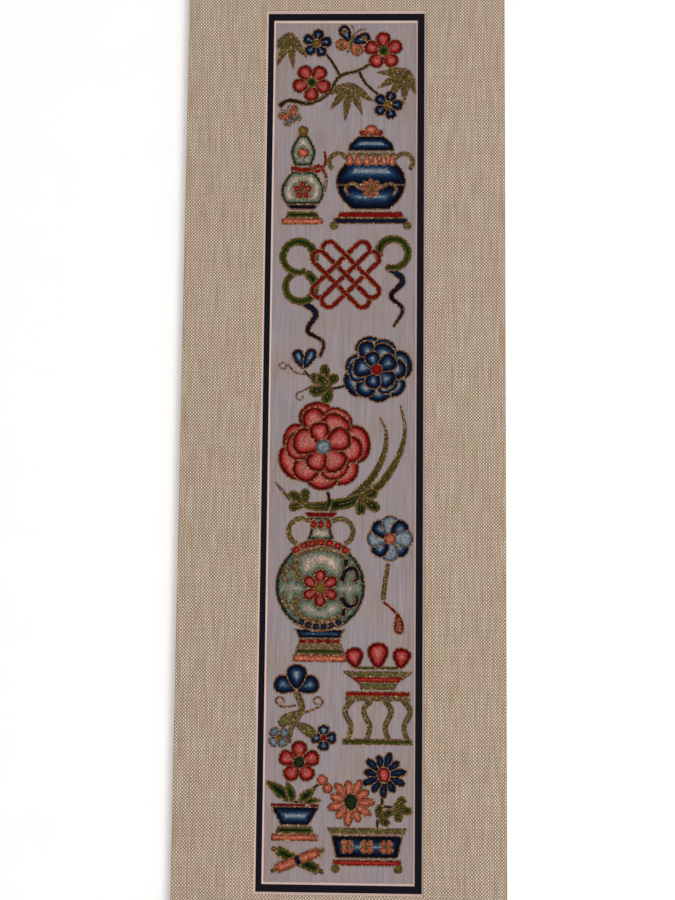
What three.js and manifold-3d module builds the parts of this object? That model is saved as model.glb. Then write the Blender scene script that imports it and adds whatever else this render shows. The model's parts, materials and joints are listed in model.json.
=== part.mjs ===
// A silk sleeve band, embroidered with flowers and vessels, laid flat in a double window mount.
// Millimetres, +Z up. The origin is the middle of the underside, X runs across the band and Y along it.

import * as THREE from "three";
import { mergeVertices } from "three/addons/utils/BufferGeometryUtils.js";
import Module from "manifold-3d";

const wasm = await Module();
wasm.setup();

// Driving dimensions
const GAP = 0.3; // between any two pieces
const BEVEL = 1.4; // how far a mat's cut edge leans back from its window
const MOUNT = { width: 203, length: 660 };
const BACKING = { thick: 3, tray: 1.3 };
const BAND = { width: 98, length: 550, thick: 1 };
const INNER_MAT = { width: 90.5, length: 541, board: 1.3, facing: 0.3, shift: 0.3 };
const OUTER_MAT = { width: 100.5, length: 552, board: 1.5, facing: 0.5 };
const STITCHES = { rise: 0.8, step: 0.25, clear: 0.35 };

// Levels of the layers, from the table upwards
const trayFloor = BACKING.thick - BACKING.tray;
const bandLow = trayFloor + GAP;
const bandTop = bandLow + BAND.thick;
const innerLow = BACKING.thick + GAP;
const innerFace = innerLow + INNER_MAT.board + GAP;
const outerLow = innerFace + INNER_MAT.facing + GAP;
const linenLow = outerLow + OUTER_MAT.board + GAP;

const COLOURS = {
  board: { color: 0xe0cfc0, roughness: 0.9 },
  navyPaper: { color: 0x12121e, roughness: 0.8 },
  linen: { color: 0xab9884, roughness: 0.95 },
  ground: { color: 0xb2a7a5, roughness: 0.7 },
  red: { color: 0x8e2a26, roughness: 0.6 },
  coral: { color: 0x9c4a30, roughness: 0.6 },
  navy: { color: 0x16233f, roughness: 0.6 },
  blue: { color: 0x35557a, roughness: 0.6 },
  celadon: { color: 0x8b9a84, roughness: 0.6 },
  green: { color: 0x3f4a20, roughness: 0.6 },
  olive: { color: 0x6d6226, roughness: 0.55 },
  gold: { color: 0x8a6a34, roughness: 0.45, metalness: 0.4 },
};

// Solids

function solidOf(geometry) {
  const bare = geometry.clone();
  bare.deleteAttribute("normal");
  bare.deleteAttribute("uv");
  const merged = mergeVertices(bare, 1e-4);
  return new wasm.Manifold(
    new wasm.Mesh({
      numProp: 3,
      vertProperties: new Float32Array(merged.attributes.position.array),
      triVerts: new Uint32Array(merged.index.array),
    }),
  );
}

function geometryOf(solid) {
  const { vertProperties, triVerts } = solid.getMesh();
  return new THREE.BufferGeometry()
    .setAttribute("position", new THREE.BufferAttribute(vertProperties, 3))
    .setIndex(new THREE.BufferAttribute(triVerts, 1));
}

function slab(outline, low, high) {
  const shape = new THREE.Shape(outline);
  const geometry = new THREE.ExtrudeGeometry(shape, { depth: high - low, bevelEnabled: false });
  return solidOf(geometry.translate(0, 0, low));
}

function block(width, length, low, high) {
  const geometry = new THREE.BoxGeometry(width, length, high - low);
  return solidOf(geometry.translate(0, 0, (low + high) / 2));
}

// A window cutter whose walls lean out by `lean` from the lower to the upper level.
function bevelledWindow(width, length, low, high, lean) {
  const geometry = new THREE.BoxGeometry(width, length, high - low);
  const corners = geometry.attributes.position;
  for (let i = 0; i < corners.count; i += 1) {
    if (corners.getZ(i) < 0) continue;
    corners.setX(i, corners.getX(i) + Math.sign(corners.getX(i)) * lean);
    corners.setY(i, corners.getY(i) + Math.sign(corners.getY(i)) * lean);
  }
  return solidOf(geometry.translate(0, 0, (low + high) / 2));
}

// Outlines. Each is a closed run of points, anticlockwise, in the plane of the cloth.

const RIGHT = new THREE.Vector2(1, 0);
const radians = THREE.MathUtils.degToRad;

function place(points, x, y, turn = 0) {
  const centre = new THREE.Vector2(0, 0);
  const outline = points.map((p) => p.clone().rotateAround(centre, radians(turn)));
  outline.forEach((p) => p.add(new THREE.Vector2(x, y)));
  return THREE.ShapeUtils.area(outline) > 0 ? outline : outline.reverse();
}

function oval(x, y, across, along = across, turn = 0, count = 10) {
  const points = [];
  for (let i = 0; i < count; i += 1) {
    const t = (2 * Math.PI * i) / count;
    points.push(new THREE.Vector2(across * Math.cos(t), along * Math.sin(t)));
  }
  return place(points, x, y, turn);
}

// A petal rooted at (x, y): narrow there, round at the outer end.
function petal(x, y, turn, length, width, count = 9) {
  const points = [];
  for (let i = 0; i < count; i += 1) {
    const t = (2 * Math.PI * i) / count;
    const along = (1 - Math.cos(t)) / 2;
    const side = (width / 2) * Math.sin(t) * (0.56 + 0.69 * along);
    points.push(new THREE.Vector2(length * along, side));
  }
  return place(points, x, y, turn);
}

// A leaf rooted at (x, y), pointed at both ends, its tip bent sideways by `bend`.
function leaf(x, y, turn, length, width, bend = 0, count = 5) {
  const left = [];
  const right = [];
  for (let i = 1; i < count; i += 1) {
    const u = i / count;
    const half = (width / 2) * Math.sin(Math.PI * u ** 0.8);
    left.push(new THREE.Vector2(length * u, bend * u * u + half));
    right.push(new THREE.Vector2(length * u, bend * u * u - half));
  }
  const root = new THREE.Vector2(0, 0);
  const tip = new THREE.Vector2(length, bend);
  return place([root, ...right, tip, ...left.reverse()], x, y, turn);
}

// A strip of cord or stem along a smooth line through hand-placed points.
function ribbon(path, width, endWidth = width, steps = path.length * 3 - 3) {
  const curve = new THREE.SplineCurve(path.map(([x, y]) => new THREE.Vector2(x, y)));
  const left = [];
  const right = [];
  for (let i = 0; i <= steps; i += 1) {
    const u = i / steps;
    const middle = curve.getPoint(u);
    const along = curve.getTangent(u);
    const half = THREE.MathUtils.lerp(width, endWidth, u) / 2;
    const side = new THREE.Vector2(-along.y, along.x).multiplyScalar(half);
    left.push(middle.clone().add(side));
    right.push(middle.clone().sub(side));
  }
  return place([...right, ...left.reverse()], 0, 0);
}

// Part of a ring, from one angle to another, for bows, handles and loops.
function arc(x, y, radius, from, to, width, endWidth = width, steps = 10) {
  const outer = [];
  const inner = [];
  for (let i = 0; i <= steps; i += 1) {
    const t = radians(THREE.MathUtils.lerp(from, to, i / steps));
    const half = THREE.MathUtils.lerp(width, endWidth, i / steps) / 2;
    outer.push(RIGHT.clone().multiplyScalar(radius + half).rotateAround(new THREE.Vector2(), t));
    inner.push(RIGHT.clone().multiplyScalar(radius - half).rotateAround(new THREE.Vector2(), t));
  }
  return place([...outer, ...inner.reverse()], x, y);
}

// Half the width of a turned vessel at a height, smooth between rows of [height, half width].
function halfWidth(rows, height) {
  const last = rows.length - 1;
  const k = THREE.MathUtils.clamp(rows.findIndex(([h]) => h > height) - 1, 0, last - 1);
  const i = height >= rows[last][0] ? last - 1 : k;
  const slope = (j) => {
    const [a, b] = [rows[Math.max(j - 1, 0)], rows[Math.min(j + 1, last)]];
    return (b[1] - a[1]) / (b[0] - a[0]);
  };
  const span = rows[i + 1][0] - rows[i][0];
  const u = (height - rows[i][0]) / span;
  const rise = (rows[i + 1][1] - rows[i][1]) * (3 * u * u - 2 * u * u * u);
  const start = slope(i) * span * (u * u * u - 2 * u * u + u);
  const end = slope(i + 1) * span * (u * u * u - u * u);
  return rows[i][1] + rise + start + end;
}

// The stretch of a turned vessel between two heights.
function turned(x, y, rows, low = rows[0][0], high = rows.at(-1)[0], steps = 5) {
  const right = [];
  const left = [];
  for (let i = 0; i <= steps; i += 1) {
    const height = THREE.MathUtils.lerp(low, high, i / steps);
    const half = halfWidth(rows, height);
    right.push(new THREE.Vector2(half, height));
    left.push(new THREE.Vector2(-half, height));
  }
  return place([...right, ...left.reverse()], x, y);
}

function polygon(x, y, corners, turn = 0) {
  return place(corners.map(([u, v]) => new THREE.Vector2(u, v)), x, y, turn);
}

function grown(outline, by) {
  return outline.map((p, i) => {
    const before = outline.at(i - 1);
    const after = outline[(i + 1) % outline.length];
    const along = after.clone().sub(before).normalize();
    return p.clone().add(new THREE.Vector2(along.y, -along.x).multiplyScalar(by));
  });
}

// Flower heads, leaves and small ornaments, as lists of outlines

const ring = (count, make) => Array.from({ length: count }, (_, i) => make(i, (360 / count) * i));

function blossom(x, y, radius, turn, count = 5) {
  const petals = ring(count, (_, a) => petal(x, y, a + turn, radius, (radius * 4.1) / count));
  return [...petals, [oval(x, y, radius * 0.32, radius * 0.32, turn, 8), 1]];
}

// How long, how wide and how far round from even each petal of a full flower is.
const OUTER_PETALS = [
  [1, 1.14, 0], [0.9, 0.95, 6], [0.98, 1.04, -4], [0.88, 0.92, 4],
  [1, 1.16, -3], [0.92, 1, 6], [0.96, 0.95, -3],
];
const MIDDLE_PETALS = [[1, 1, 0], [0.88, 0.85, 7], [1.08, 1.12, -5], [0.9, 0.9, 5], [1, 1.06, -4]];

// A full flower: an outer round of petals, a middle round and a heart.
function peony(x, y, radius, turn) {
  const round = (table, reach, width, offset) =>
    table.map(([long, wide, shift], i) => {
      const angle = turn + offset + shift + (360 / table.length) * i;
      return petal(x, y, angle, radius * reach * long, radius * width * wide);
    });
  const outer = round(OUTER_PETALS, 1, 0.76, 0);
  const middle = round(MIDDLE_PETALS, 0.62, 0.56, 20);
  return [...outer, ...middle.map((o) => [o, 1]), [oval(x, y, radius * 0.2, radius * 0.2, 0, 8), 2]];
}

function daisy(x, y, radius, turn, count = 11) {
  const reach = (i) => radius * (i % 2 ? 0.88 : 1);
  const petals = ring(count, (i, a) => petal(x, y, a + turn, reach(i), radius * 0.4, 7));
  return [...petals, [oval(x, y, radius * 0.3, radius * 0.36, turn, 8), 1]];
}

// Slender leaves that share one root and fan out.
function spray(x, y, turn, spread, length, count = 5, width = length * 0.2) {
  return ring(count, (i) => {
    const across = i / (count - 1) - 0.5;
    const reach = length * (1 - 0.5 * Math.abs(across));
    return leaf(x, y, turn + spread * across, reach, width, across * length * 0.25, 4);
  });
}

function lobedLeaf(x, y, turn, size) {
  const lobe = (angle, length) => petal(x, y, turn + angle, length, size * 0.5);
  return [lobe(0, size), lobe(50, size * 0.8), lobe(-50, size * 0.8)];
}

function butterfly(x, y, size, turn) {
  const wing = (angle, length) => petal(x, y, turn + angle, length, size * 0.38);
  const fore = [wing(48, size * 0.6), wing(-48, size * 0.6)];
  const hind = [wing(118, size * 0.44), wing(-118, size * 0.44)];
  return [...fore, ...hind, [oval(x, y, size * 0.3, size * 0.07, turn, 6), 1]];
}

// A board seen from the front, between two heights, wider or narrower at its top.
function board(x, y, low, high, half, halfHigh = half) {
  return polygon(x, y, [[-half, low], [half, low], [halfHigh, high], [-halfHigh, high]]);
}

// A bench top or plinth: a moulded board with its foot board below.
function plinth(x, y, half, height) {
  const top = board(x, y, 0, height * 0.52, half, half - 1.5);
  return [top, board(x, y, -height * 0.48, 0.1, half + 2)];
}

// Stitched motifs, front ones first. Each entry is a node name, a silk and its outlines, which are
// bare outlines or pairs of an outline and a step up from the lowest level of the stitches.

const motifs = [];
const stitch = (name, silk, outlines) => motifs.push({ name, silk, outlines });

// Works a motif larger or smaller than it is drawn, about its own point.
function sized(motif, x, y, scale) {
  const centre = new THREE.Vector2(x, y);
  const before = motifs.length;
  motif(x, y);
  const resize = (outline) => outline.forEach((p) => p.sub(centre).multiplyScalar(scale).add(centre));
  for (const { outlines } of motifs.slice(before)) {
    outlines.forEach((o) => resize(Array.isArray(o[0]) ? o[0] : o));
  }
}

function plumSpray() {
  stitch("plum_red_high", "red", blossom(24, 252, 13, 20));
  stitch("plum_red_low", "red", blossom(-22, 231, 13, 52));
  stitch("plum_navy_high", "navy", blossom(-19, 257, 10, 10));
  stitch("plum_navy_low", "navy", blossom(27, 216, 10, 0));
  stitch("butterfly_high", "blue", butterfly(3, 257, 23, 70));
  const main = [[-43, 215], [-36, 219], [-24, 217], [-12, 223], [-4, 235], [8, 239], [20, 246]];
  const upper = [[-4, 235], [-8, 243], [-13, 250]];
  const lower = [[8, 239], [13, 230], [21, 223]];
  stitch("plum_branch", "green", [ribbon(main, 3.6, 2.2), ribbon(upper, 2.4, 1.8), ribbon(lower, 2.4, 1.8)]);
  stitch("bamboo_right", "olive", spray(40, 240, 238, 84, 28));
  stitch("bamboo_left", "olive", spray(-36, 265, 262, 60, 28, 4));
  stitch("bamboo_middle", "olive", spray(3, 231, 262, 96, 27));
}

function gourd(x, y) {
  const rows = [[0, 7], [6, 11.6], [13, 12.6], [20, 9], [25, 5.2], [30, 6.6], [35, 7.4], [41, 5], [45, 2.4]];
  const band = ribbon([[x - 7, y + 25], [x, y + 23.5], [x + 7, y + 25]], 3.4);
  const longEnd = [[x + 5, y + 24], [x + 10, y + 26], [x + 13.5, y + 19], [x + 12.5, y + 10]];
  const shortEnd = [[x + 5, y + 24], [x + 9, y + 23], [x + 13, y + 28], [x + 12.5, y + 35]];
  stitch("gourd_ribbon", "coral", [band, ribbon(longEnd, 3, 1.6), ribbon(shortEnd, 2.6, 1.4)]);
  stitch("gourd_low", "celadon", [turned(x, y, rows, 0, 23, 7)]);
  stitch("gourd_high", "celadon", [turned(x, y, rows, 26, 45, 5), [oval(x, y + 47, 3, 3.2, 0, 8), 1]]);
  stitch("gourd_stand", "olive", plinth(x, y - 5, 10, 8));
}

function melonJar(x, y) {
  const body = [[0, 11], [6, 17], [14, 20.5], [22, 20], [29, 15], [33, 11]];
  const rib = body.map(([height, half]) => [height, half * 0.45]);
  const lid = [[0, 14], [5, 12.5], [9, 8], [12, 3]];
  const leafPair = [petal(x - 1, y + 45, 18, 8.5, 4.6, 7), petal(x + 1, y + 45, 162, 8.5, 4.6, 7)];
  stitch("jar_knob", "coral", [oval(x, y + 48.5, 4, 3.4, 0, 8), ...leafPair]);
  stitch("jar_lid", "navy", [turned(x, y + 35.5, lid, 0, 9.5)]);
  const lappets = ring(6, (i) => petal(x - 12.5 + i * 5, y + 34.5, 270, 8, 5, 7));
  const handles = [arc(x - 19.5, y + 29, 5.2, 20, 235, 2.8), arc(x + 19.5, y + 29, 5.2, -55, 160, 2.8)];
  stitch("jar_collar", "coral", [...lappets, board(x, y + 32, 0, 2.8, 15, 14), ...handles]);
  stitch("jar_body", "navy", [turned(x, y, body, 0, 32, 8), [turned(x, y, rib, 1, 25, 5), 1]]);
  const feet = [oval(x - 21.5, y - 9.5, 2.6, 2.6, 0, 8), oval(x + 21.5, y - 9.5, 2.6, 2.6, 0, 8)];
  stitch("jar_stand", "red", [...plinth(x, y - 4.9, 20, 7.6), ...feet]);
}

// A knot of three cords each way, its ends turned back at the rim, between two ribbons.
function luckyKnot(x, y) {
  const half = 15.5;
  const cord = 2.9;
  const pitch = 7;
  const bar = (offset, turn) => {
    const [low, high] = [offset - cord / 2, offset + cord / 2];
    return polygon(x, y, [[-half, low], [half, low], [half, high], [-half, high]], turn);
  };
  const bars = [-pitch, 0, pitch].flatMap((offset) => [bar(offset, 45), bar(offset, 135)]);
  const loop = (offset, turn) => place(arc(half, offset, pitch / 2, -90, 90, cord, cord, 5), x, y, turn);
  const loops = [45, 135, 225, 315].flatMap((turn) => [loop(pitch / 2, turn), loop(-pitch / 2, turn)]);
  stitch("knot_lattice", "red", [...bars, ...loops]);
  const leftHigh = arc(x - 24, y + 9, 8, -20, 300, 4.8, 3.4, 12);
  const leftLow = arc(x - 23, y - 6.5, 7.5, 70, -250, 4.8, 3.4, 12);
  const leftStart = [[x - 23, y - 13.5], [x - 15, y - 20], [x - 19, y - 29]];
  const leftTail = [...leftStart, [x - 11, y - 35], [x - 13, y - 43]];
  stitch("knot_ribbon_left", "green", [leftHigh, leftLow, ribbon(leftTail, 4.2, 1.8)]);
  const rightTail = [[x + 21, y + 4], [x + 29, y - 3], [x + 23, y - 11], [x + 29, y - 18], [x + 24, y - 27]];
  const rightHigh = arc(x + 24, y + 11, 7.5, 200, -120, 4.8, 3.4, 12);
  stitch("knot_ribbon_right", "olive", [rightHigh, ribbon(rightTail, 4.2, 1.8)]);
}

function bluePeony(x, y) {
  stitch("peony_blue", "navy", peony(x, y, 23, 12));
  const bud = [petal(x - 46, y, 64, 15, 8.5, 7), petal(x - 46, y, 112, 14, 8.5, 7)];
  stitch("peony_blue_bud", "blue", bud);
  const stem = [[x - 19, y - 10], [x - 28, y - 12], [x - 38, y - 8], [x - 46, y - 0.6]];
  const leaves = [...lobedLeaf(x - 28, y - 11, 196, 15), ...lobedLeaf(x - 33, y - 10.5, 88, 14)];
  stitch("peony_blue_leaves", "green", [ribbon(stem, 2.2, 1.7), ...leaves]);
}

function redPeony(x, y) {
  stitch("peony_red", "red", peony(x, y, 30, 5));
  const stem = [[x + 3, y - 28], [x + 4, y - 34], [x + 2, y - 40]];
  const outerRise = [[x + 4, y - 37], [x + 18, y - 34], [x + 34, y - 25]];
  const outerLeaf = [...outerRise, [x + 46, y - 8], [x + 51, y + 10], [x + 48, y + 27]];
  const innerRise = [[x + 16, y - 34], [x + 30, y - 20], [x + 38, y - 4]];
  const innerLeaf = [...innerRise, [x + 39, y + 10], [x + 35, y + 19]];
  const leftLeaf = [[x + 4, y - 37], [x - 9, y - 37], [x - 21, y - 32], [x - 30, y - 22]];
  const strips = [ribbon(outerLeaf, 8.5, 1), ribbon(innerLeaf, 6, 0.9), ribbon(leftLeaf, 7, 1)];
  const leaves = [...lobedLeaf(x + 23, y - 31, 325, 15), ...lobedLeaf(x - 11, y - 36.5, 140, 13)];
  stitch("peony_red_leaves", "green", [ribbon(stem, 2.4), ...strips, ...leaves]);
}

function moonFlask(x, y) {
  const neck = [[0, 9], [5, 7], [12, 6.6], [15, 8]];
  const foot = [[0, 15], [4, 13], [9, 14], [12, 16]];
  stitch("flask_flower", "red", blossom(x, y - 1, 12, 30, 6));
  stitch("flask_collar", "coral", [arc(x, y, 27.2, 50, 130, 5, 5, 8)]);
  stitch("flask_body", "celadon", [oval(x, y, 28, 28, 0, 26)]);
  const lip = turned(x, y + 43, [[0, 8], [3, 10.5]], 0, 3, 1);
  const handles = [arc(x - 12, y + 34, 8, 50, 250, 3.2), arc(x + 12, y + 34, 8, -70, 130, 3.2)];
  stitch("flask_neck", "celadon", [turned(x, y + 28.6, neck, 0, 14.6, 4), [lip, 1], ...handles]);
  const bench = [board(x, y - 42, 0, 4.2, 15.5, 14.5), board(x, y - 46.4, 0, 4.6, 16.5)];
  stitch("flask_foot", "navy", [turned(x, y - 38, foot, 0, 12, 4), ...bench]);
}

function roundFan(x, y) {
  stitch("fan_leaf", "blue", ring(8, (_, a) => petal(x, y, a, 14.5, 11.7, 7)));
  stitch("fan_handle", "gold", [ribbon([[x - 1, y - 15.5], [x - 3, y - 28], [x - 4, y - 38]], 2.8, 3.2)]);
  const cord = [[x - 4, y - 39], [x + 1, y - 43], [x + 5, y - 47]];
  stitch("fan_tassel", "red", [ribbon(cord, 1.8), petal(x + 5, y - 45.5, 275, 14, 7, 7)]);
}

function peachDish(x, y) {
  const rows = [[0, 10], [4, 12], [9, 19], [11, 20.5]];
  const sides = [petal(x - 13, y + 12, 97, 13, 12), petal(x + 13, y + 12, 83, 13, 12)];
  stitch("peaches", "red", [...sides, petal(x, y + 12, 90, 16, 13.5), board(x, y + 11.8, 0, 1.6, 14)]);
  stitch("dish", "olive", [turned(x, y, rows, 0, 11), [turned(x, y, rows, 4, 8, 2), 1]]);
  const leg = (sign, out) => {
    const knee = x + sign * out;
    const bow = [[knee, y - 5], [knee + sign * 5, y - 12], [knee + sign * 1.5, y - 21]];
    return ribbon([...bow, [knee + sign * 3.5, y - 29]], 3.6, 3);
  };
  const boards = [board(x, y - 6.5, 0, 5.8, 19), board(x, y - 31.6, 0, 3.6, 20.5)];
  stitch("dish_stand", "gold", [...boards, leg(1, 14), leg(-1, 14), leg(1, 3), leg(-1, 3)]);
}

function cloudHead(x, y) {
  stitch("cloud_head", "navy", [petal(x, y, 90, 14, 12), petal(x, y, 22, 13, 11), petal(x, y, 158, 13, 11)]);
  const stem = [[x, y - 1], [x + 3, y - 10], [x - 2, y - 19], [x - 4, y - 28]];
  const leaves = [petal(x + 2.5, y - 11, 212, 14, 6.5), petal(x - 0.5, y - 17, 328, 13, 6.5)];
  stitch("cloud_stem", "olive", [ribbon(stem, 4, 2.6), ...leaves]);
}

function flowerBowl(x, y) {
  const rows = [[0, 8], [4, 10], [9, 13], [12, 13.5]];
  stitch("bowl_red_flower", "red", blossom(x + 2, y + 34.5, 12, 18));
  stitch("bowl_navy_flower", "navy", blossom(x + 15.5, y + 48, 7.5, 0, 4));
  stitch("bowl_pale_flower", "blue", blossom(x - 9.5, y + 48, 6.5, 40, 4));
  const blade = (offset, turn, length, width, bend) => leaf(x + offset, y + 12.2, turn, length, width, bend);
  const leftBlades = [blade(-2, 130, 20, 7, 4), blade(-1, 103, 13, 6, 1)];
  const blades = [...leftBlades, blade(2, 50, 13, 6, -2), blade(3, 22, 12, 5, -3)];
  const twig = ribbon([[x + 3, y + 12.4], [x + 8, y + 19], [x + 14, y + 23]], 1.6);
  const berries = [oval(x + 15, y + 25, 3.2, 3.2, 0, 8), oval(x + 18, y + 20.5, 3, 3, 0, 8)];
  stitch("bowl_leaves", "green", [...blades, board(x, y + 12.2, 0, 1.6, 5, 4), twig, ...berries]);
  stitch("bowl", "navy", [turned(x, y, rows, 0, 12)]);
  stitch("bowl_stand", "olive", plinth(x, y - 4.5, 11, 8));
}

function scrolls(x, y) {
  const roll = (turn) => [
    polygon(x, y, [[-14, -3.2], [14, -3.2], [14, 3.2], [-14, 3.2]], turn),
    polygon(x, y, [[-17.5, -1.5], [17.5, -1.5], [17.5, 1.5], [-17.5, 1.5]], turn),
  ];
  stitch("scroll_pair", "green", [...roll(-24), ...roll(22).map((o) => [o, 1])]);
}

function planter(x, y) {
  stitch("daisy_navy", "navy", daisy(x + 10, y + 50, 14.5, 8));
  stitch("daisy_coral", "coral", daisy(x - 10, y + 33.5, 15, 0));
  const stem = [[x + 9, y + 37], [x + 9, y + 31], [x + 7, y + 25], [x + 6, y + 18.5]];
  const twig = [[x + 9, y + 31], [x + 13, y + 31], [x + 17, y + 30.5]];
  const leaves = [...lobedLeaf(x + 16, y + 30.5, 348, 12), ...lobedLeaf(x + 6, y + 24, 25, 11)];
  stitch("daisy_stem", "green", [ribbon(stem, 2), ribbon(twig, 1.8), ...leaves]);
  stitch("planter_rim", "gold", [board(x, y + 14.5, 0, 3.8, 23, 24.5)]);
  stitch("planter_side", "blue", [board(x, y, 0, 13.9, 19, 22)]);
  const feet = [oval(x - 19, y - 6, 2.8, 2.8, 0, 8), oval(x + 19, y - 6, 2.8, 2.8, 0, 8)];
  stitch("planter_foot", "coral", [board(x, y - 4.5, 0, 3.9, 21), ...feet]);
}

plumSpray();
sized(gourd, -27, 147, 1.1);
stitch("butterfly_low", "coral", butterfly(-35, 207.5, 15, 120));
sized(melonJar, 16.5, 147, 1.08);
sized(luckyKnot, 1, 105, 1.25);
bluePeony(21, 44);
redPeony(-12, -5);
moonFlask(-13, -92);
roundFan(30, -62);
sized(peachDish, 23, -155, 1.05);
sized(cloudHead, -27, -155.5, 1.15);
sized(flowerBowl, -27, -237, 1.1);
scrolls(-25, -257.5);
planter(17, -256);

// Assembly

const group = new THREE.Group();

function add(name, look, solid) {
  const mesh = new THREE.Mesh(geometryOf(solid), new THREE.MeshStandardMaterial(COLOURS[look]));
  mesh.name = name;
  group.add(mesh);
}

function addMount() {
  const { width, length } = MOUNT;
  const top = linenLow + OUTER_MAT.facing;
  const tray = block(BAND.width + 2 * GAP, BAND.length + 2 * GAP, trayFloor, BACKING.thick + GAP);
  add("backing_board", "board", block(width, length, 0, BACKING.thick).subtract(tray));

  const innerTop = innerFace + INNER_MAT.facing;
  const inner = bevelledWindow(INNER_MAT.width, INNER_MAT.length, innerLow - GAP, innerTop + GAP, BEVEL);
  const opening = inner.translate([-INNER_MAT.shift, 0, 0]);
  add("inner_mat", "board", block(width, length, innerLow, innerLow + INNER_MAT.board).subtract(opening));
  add("inner_mat_facing", "navyPaper", block(width, length, innerFace, innerTop).subtract(opening));

  const outer = bevelledWindow(OUTER_MAT.width, OUTER_MAT.length, outerLow - GAP, top + GAP, BEVEL);
  add("outer_mat", "board", block(width, length, outerLow, outerLow + OUTER_MAT.board).subtract(outer));
  add("linen_facing", "linen", block(width, length, linenLow, top).subtract(outer));
}

function addStitches() {
  const low = bandTop + GAP;
  const inset = 2 * (GAP + STITCHES.clear);
  const view = block(INNER_MAT.width - inset, INNER_MAT.length - inset, low, low + 3);
  const cutters = [];
  for (const { name, silk, outlines } of motifs) {
    const parts = outlines.map((o) => (Array.isArray(o[0]) ? o : [o, 0]));
    const rise = (step) => low + STITCHES.rise + step * STITCHES.step;
    let solid = wasm.Manifold.union(parts.map(([o, step]) => slab(o, low, rise(step))));
    if (cutters.length) solid = solid.subtract(wasm.Manifold.union(cutters));
    solid = solid.intersect(view);
    const bodies = solid.decompose().sort((a, b) => b.volume() - a.volume());
    add(name, silk, bodies[0]);
    parts.forEach(([o]) => cutters.push(slab(grown(o, STITCHES.clear), low - 1, low + 3)));
  }
}

addMount();
add("band_ground", "ground", block(BAND.width, BAND.length, bandLow, bandTop));
addStitches();

export default group;
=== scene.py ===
"""An embroidered silk sleeve band in a double window mount, lying face up on a pale floor.

The band is worked in knot stitch, shaded from a dark edge to a pale middle, and every shape is
outlined with a pair of couched gold threads. Layout sizes are in millimetres, as drawn on the
cloth, with X across the band and Y along it; meshes are made in metres."""

import json
import math
import random
from collections import defaultdict
from dataclasses import dataclass

import bmesh
import bpy
import numpy as np
from mathutils import Matrix, Vector

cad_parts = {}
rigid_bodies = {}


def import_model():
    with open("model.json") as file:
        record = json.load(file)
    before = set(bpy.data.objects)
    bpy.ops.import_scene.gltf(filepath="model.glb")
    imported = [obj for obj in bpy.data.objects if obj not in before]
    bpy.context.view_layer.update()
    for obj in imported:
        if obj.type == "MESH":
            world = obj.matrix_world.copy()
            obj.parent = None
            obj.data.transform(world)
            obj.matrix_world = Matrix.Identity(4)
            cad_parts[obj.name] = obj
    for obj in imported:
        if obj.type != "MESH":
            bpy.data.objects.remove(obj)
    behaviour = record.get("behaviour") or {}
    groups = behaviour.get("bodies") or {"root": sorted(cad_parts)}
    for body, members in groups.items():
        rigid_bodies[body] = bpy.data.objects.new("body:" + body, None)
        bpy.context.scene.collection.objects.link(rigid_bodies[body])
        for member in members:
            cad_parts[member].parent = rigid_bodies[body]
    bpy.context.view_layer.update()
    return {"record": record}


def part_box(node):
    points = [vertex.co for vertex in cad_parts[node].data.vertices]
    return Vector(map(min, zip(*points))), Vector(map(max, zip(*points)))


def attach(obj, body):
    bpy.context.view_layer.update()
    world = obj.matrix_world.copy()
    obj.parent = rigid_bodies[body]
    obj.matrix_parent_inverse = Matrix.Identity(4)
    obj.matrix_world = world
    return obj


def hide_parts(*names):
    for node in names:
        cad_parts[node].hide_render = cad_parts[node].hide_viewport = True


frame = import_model()
random.seed(5)

MM = 0.001

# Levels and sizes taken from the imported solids, in millimetres


def extent(node):
    return [np.array(corner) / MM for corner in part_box(node)]


BAND_LOW, BAND_HIGH = extent("band_ground")
PAPER_LOW, PAPER_HIGH = extent("inner_mat_facing")
LINEN_LOW, LINEN_HIGH = extent("linen_facing")

CLOTH_TOP = BAND_HIGH[2] + 0.1
CLOTH_THICK = 0.5
CLOTH_GRID = (40, 220)
BOARD_LOW = BAND_HIGH[2] + 0.12
INNER_WINDOW = (90.5, 541.0)
OUTER_WINDOW = (100.5, 552.0)
WINDOW_SHIFT = -0.3
INNER_SLOPE = 1.4 / 2.5
OUTER_SLOPE = 1.4 / 2.9
SOFT_EDGE = 0.12
PAPER_SOFT_EDGE = 0.05

# Half the part of the silk that stitches may reach, and how far a raised step lifts them
VIEW_HALF = (44.6, 269.8)
STEP = 0.25

# Knots: their pitch and height; how close they may lie in rows and where room is left, how much
# room a place needs and how closely places are tried, as shares of the pitch
PITCH = 0.85
KNOT_HEIGHT = 0.62
ROW_CLOSE, FILL_CLOSE = 0.93, 0.8
ROW_SLACK, FILL_ROOM, FILL_TRY = 0.14, 0.3, 0.45
GAP_TO_FRONT = 0.06
FRONT_SHADE = 1.4
FRONT_SHADE_RISE = 0.8

# Threads: their diameter and sides, the space between gold and knots, the width of a cell that
# takes two, the shortest run, and the couching stitches' spacing and thickness
GOLD = 0.4
THREAD_SIDES = 5
BORDER_EASE = 0.04
NARROW = 1.35
SHORTEST = {"knots": 1.3, "threads": 0.5}
MOST_THREADS = 40
VEIN_LIFT = 0.12
SAMPLE = 0.25
STITCH_EVERY = 3.3
STITCH_RADIUS = 0.09


# Outlines: closed runs of points, anticlockwise, as arrays of rows (x, y)


def signed_area(outline):
    x, y = outline[:, 0], outline[:, 1]
    return 0.5 * float(np.sum(x * np.roll(y, -1) - y * np.roll(x, -1)))


def place(points, x=0.0, y=0.0, turn=0.0):
    t = math.radians(turn)
    spin = np.array([[math.cos(t), math.sin(t)], [-math.sin(t), math.cos(t)]])
    outline = np.array(points, float) @ spin + (x, y)
    return outline if signed_area(outline) > 0 else outline[::-1]


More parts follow.
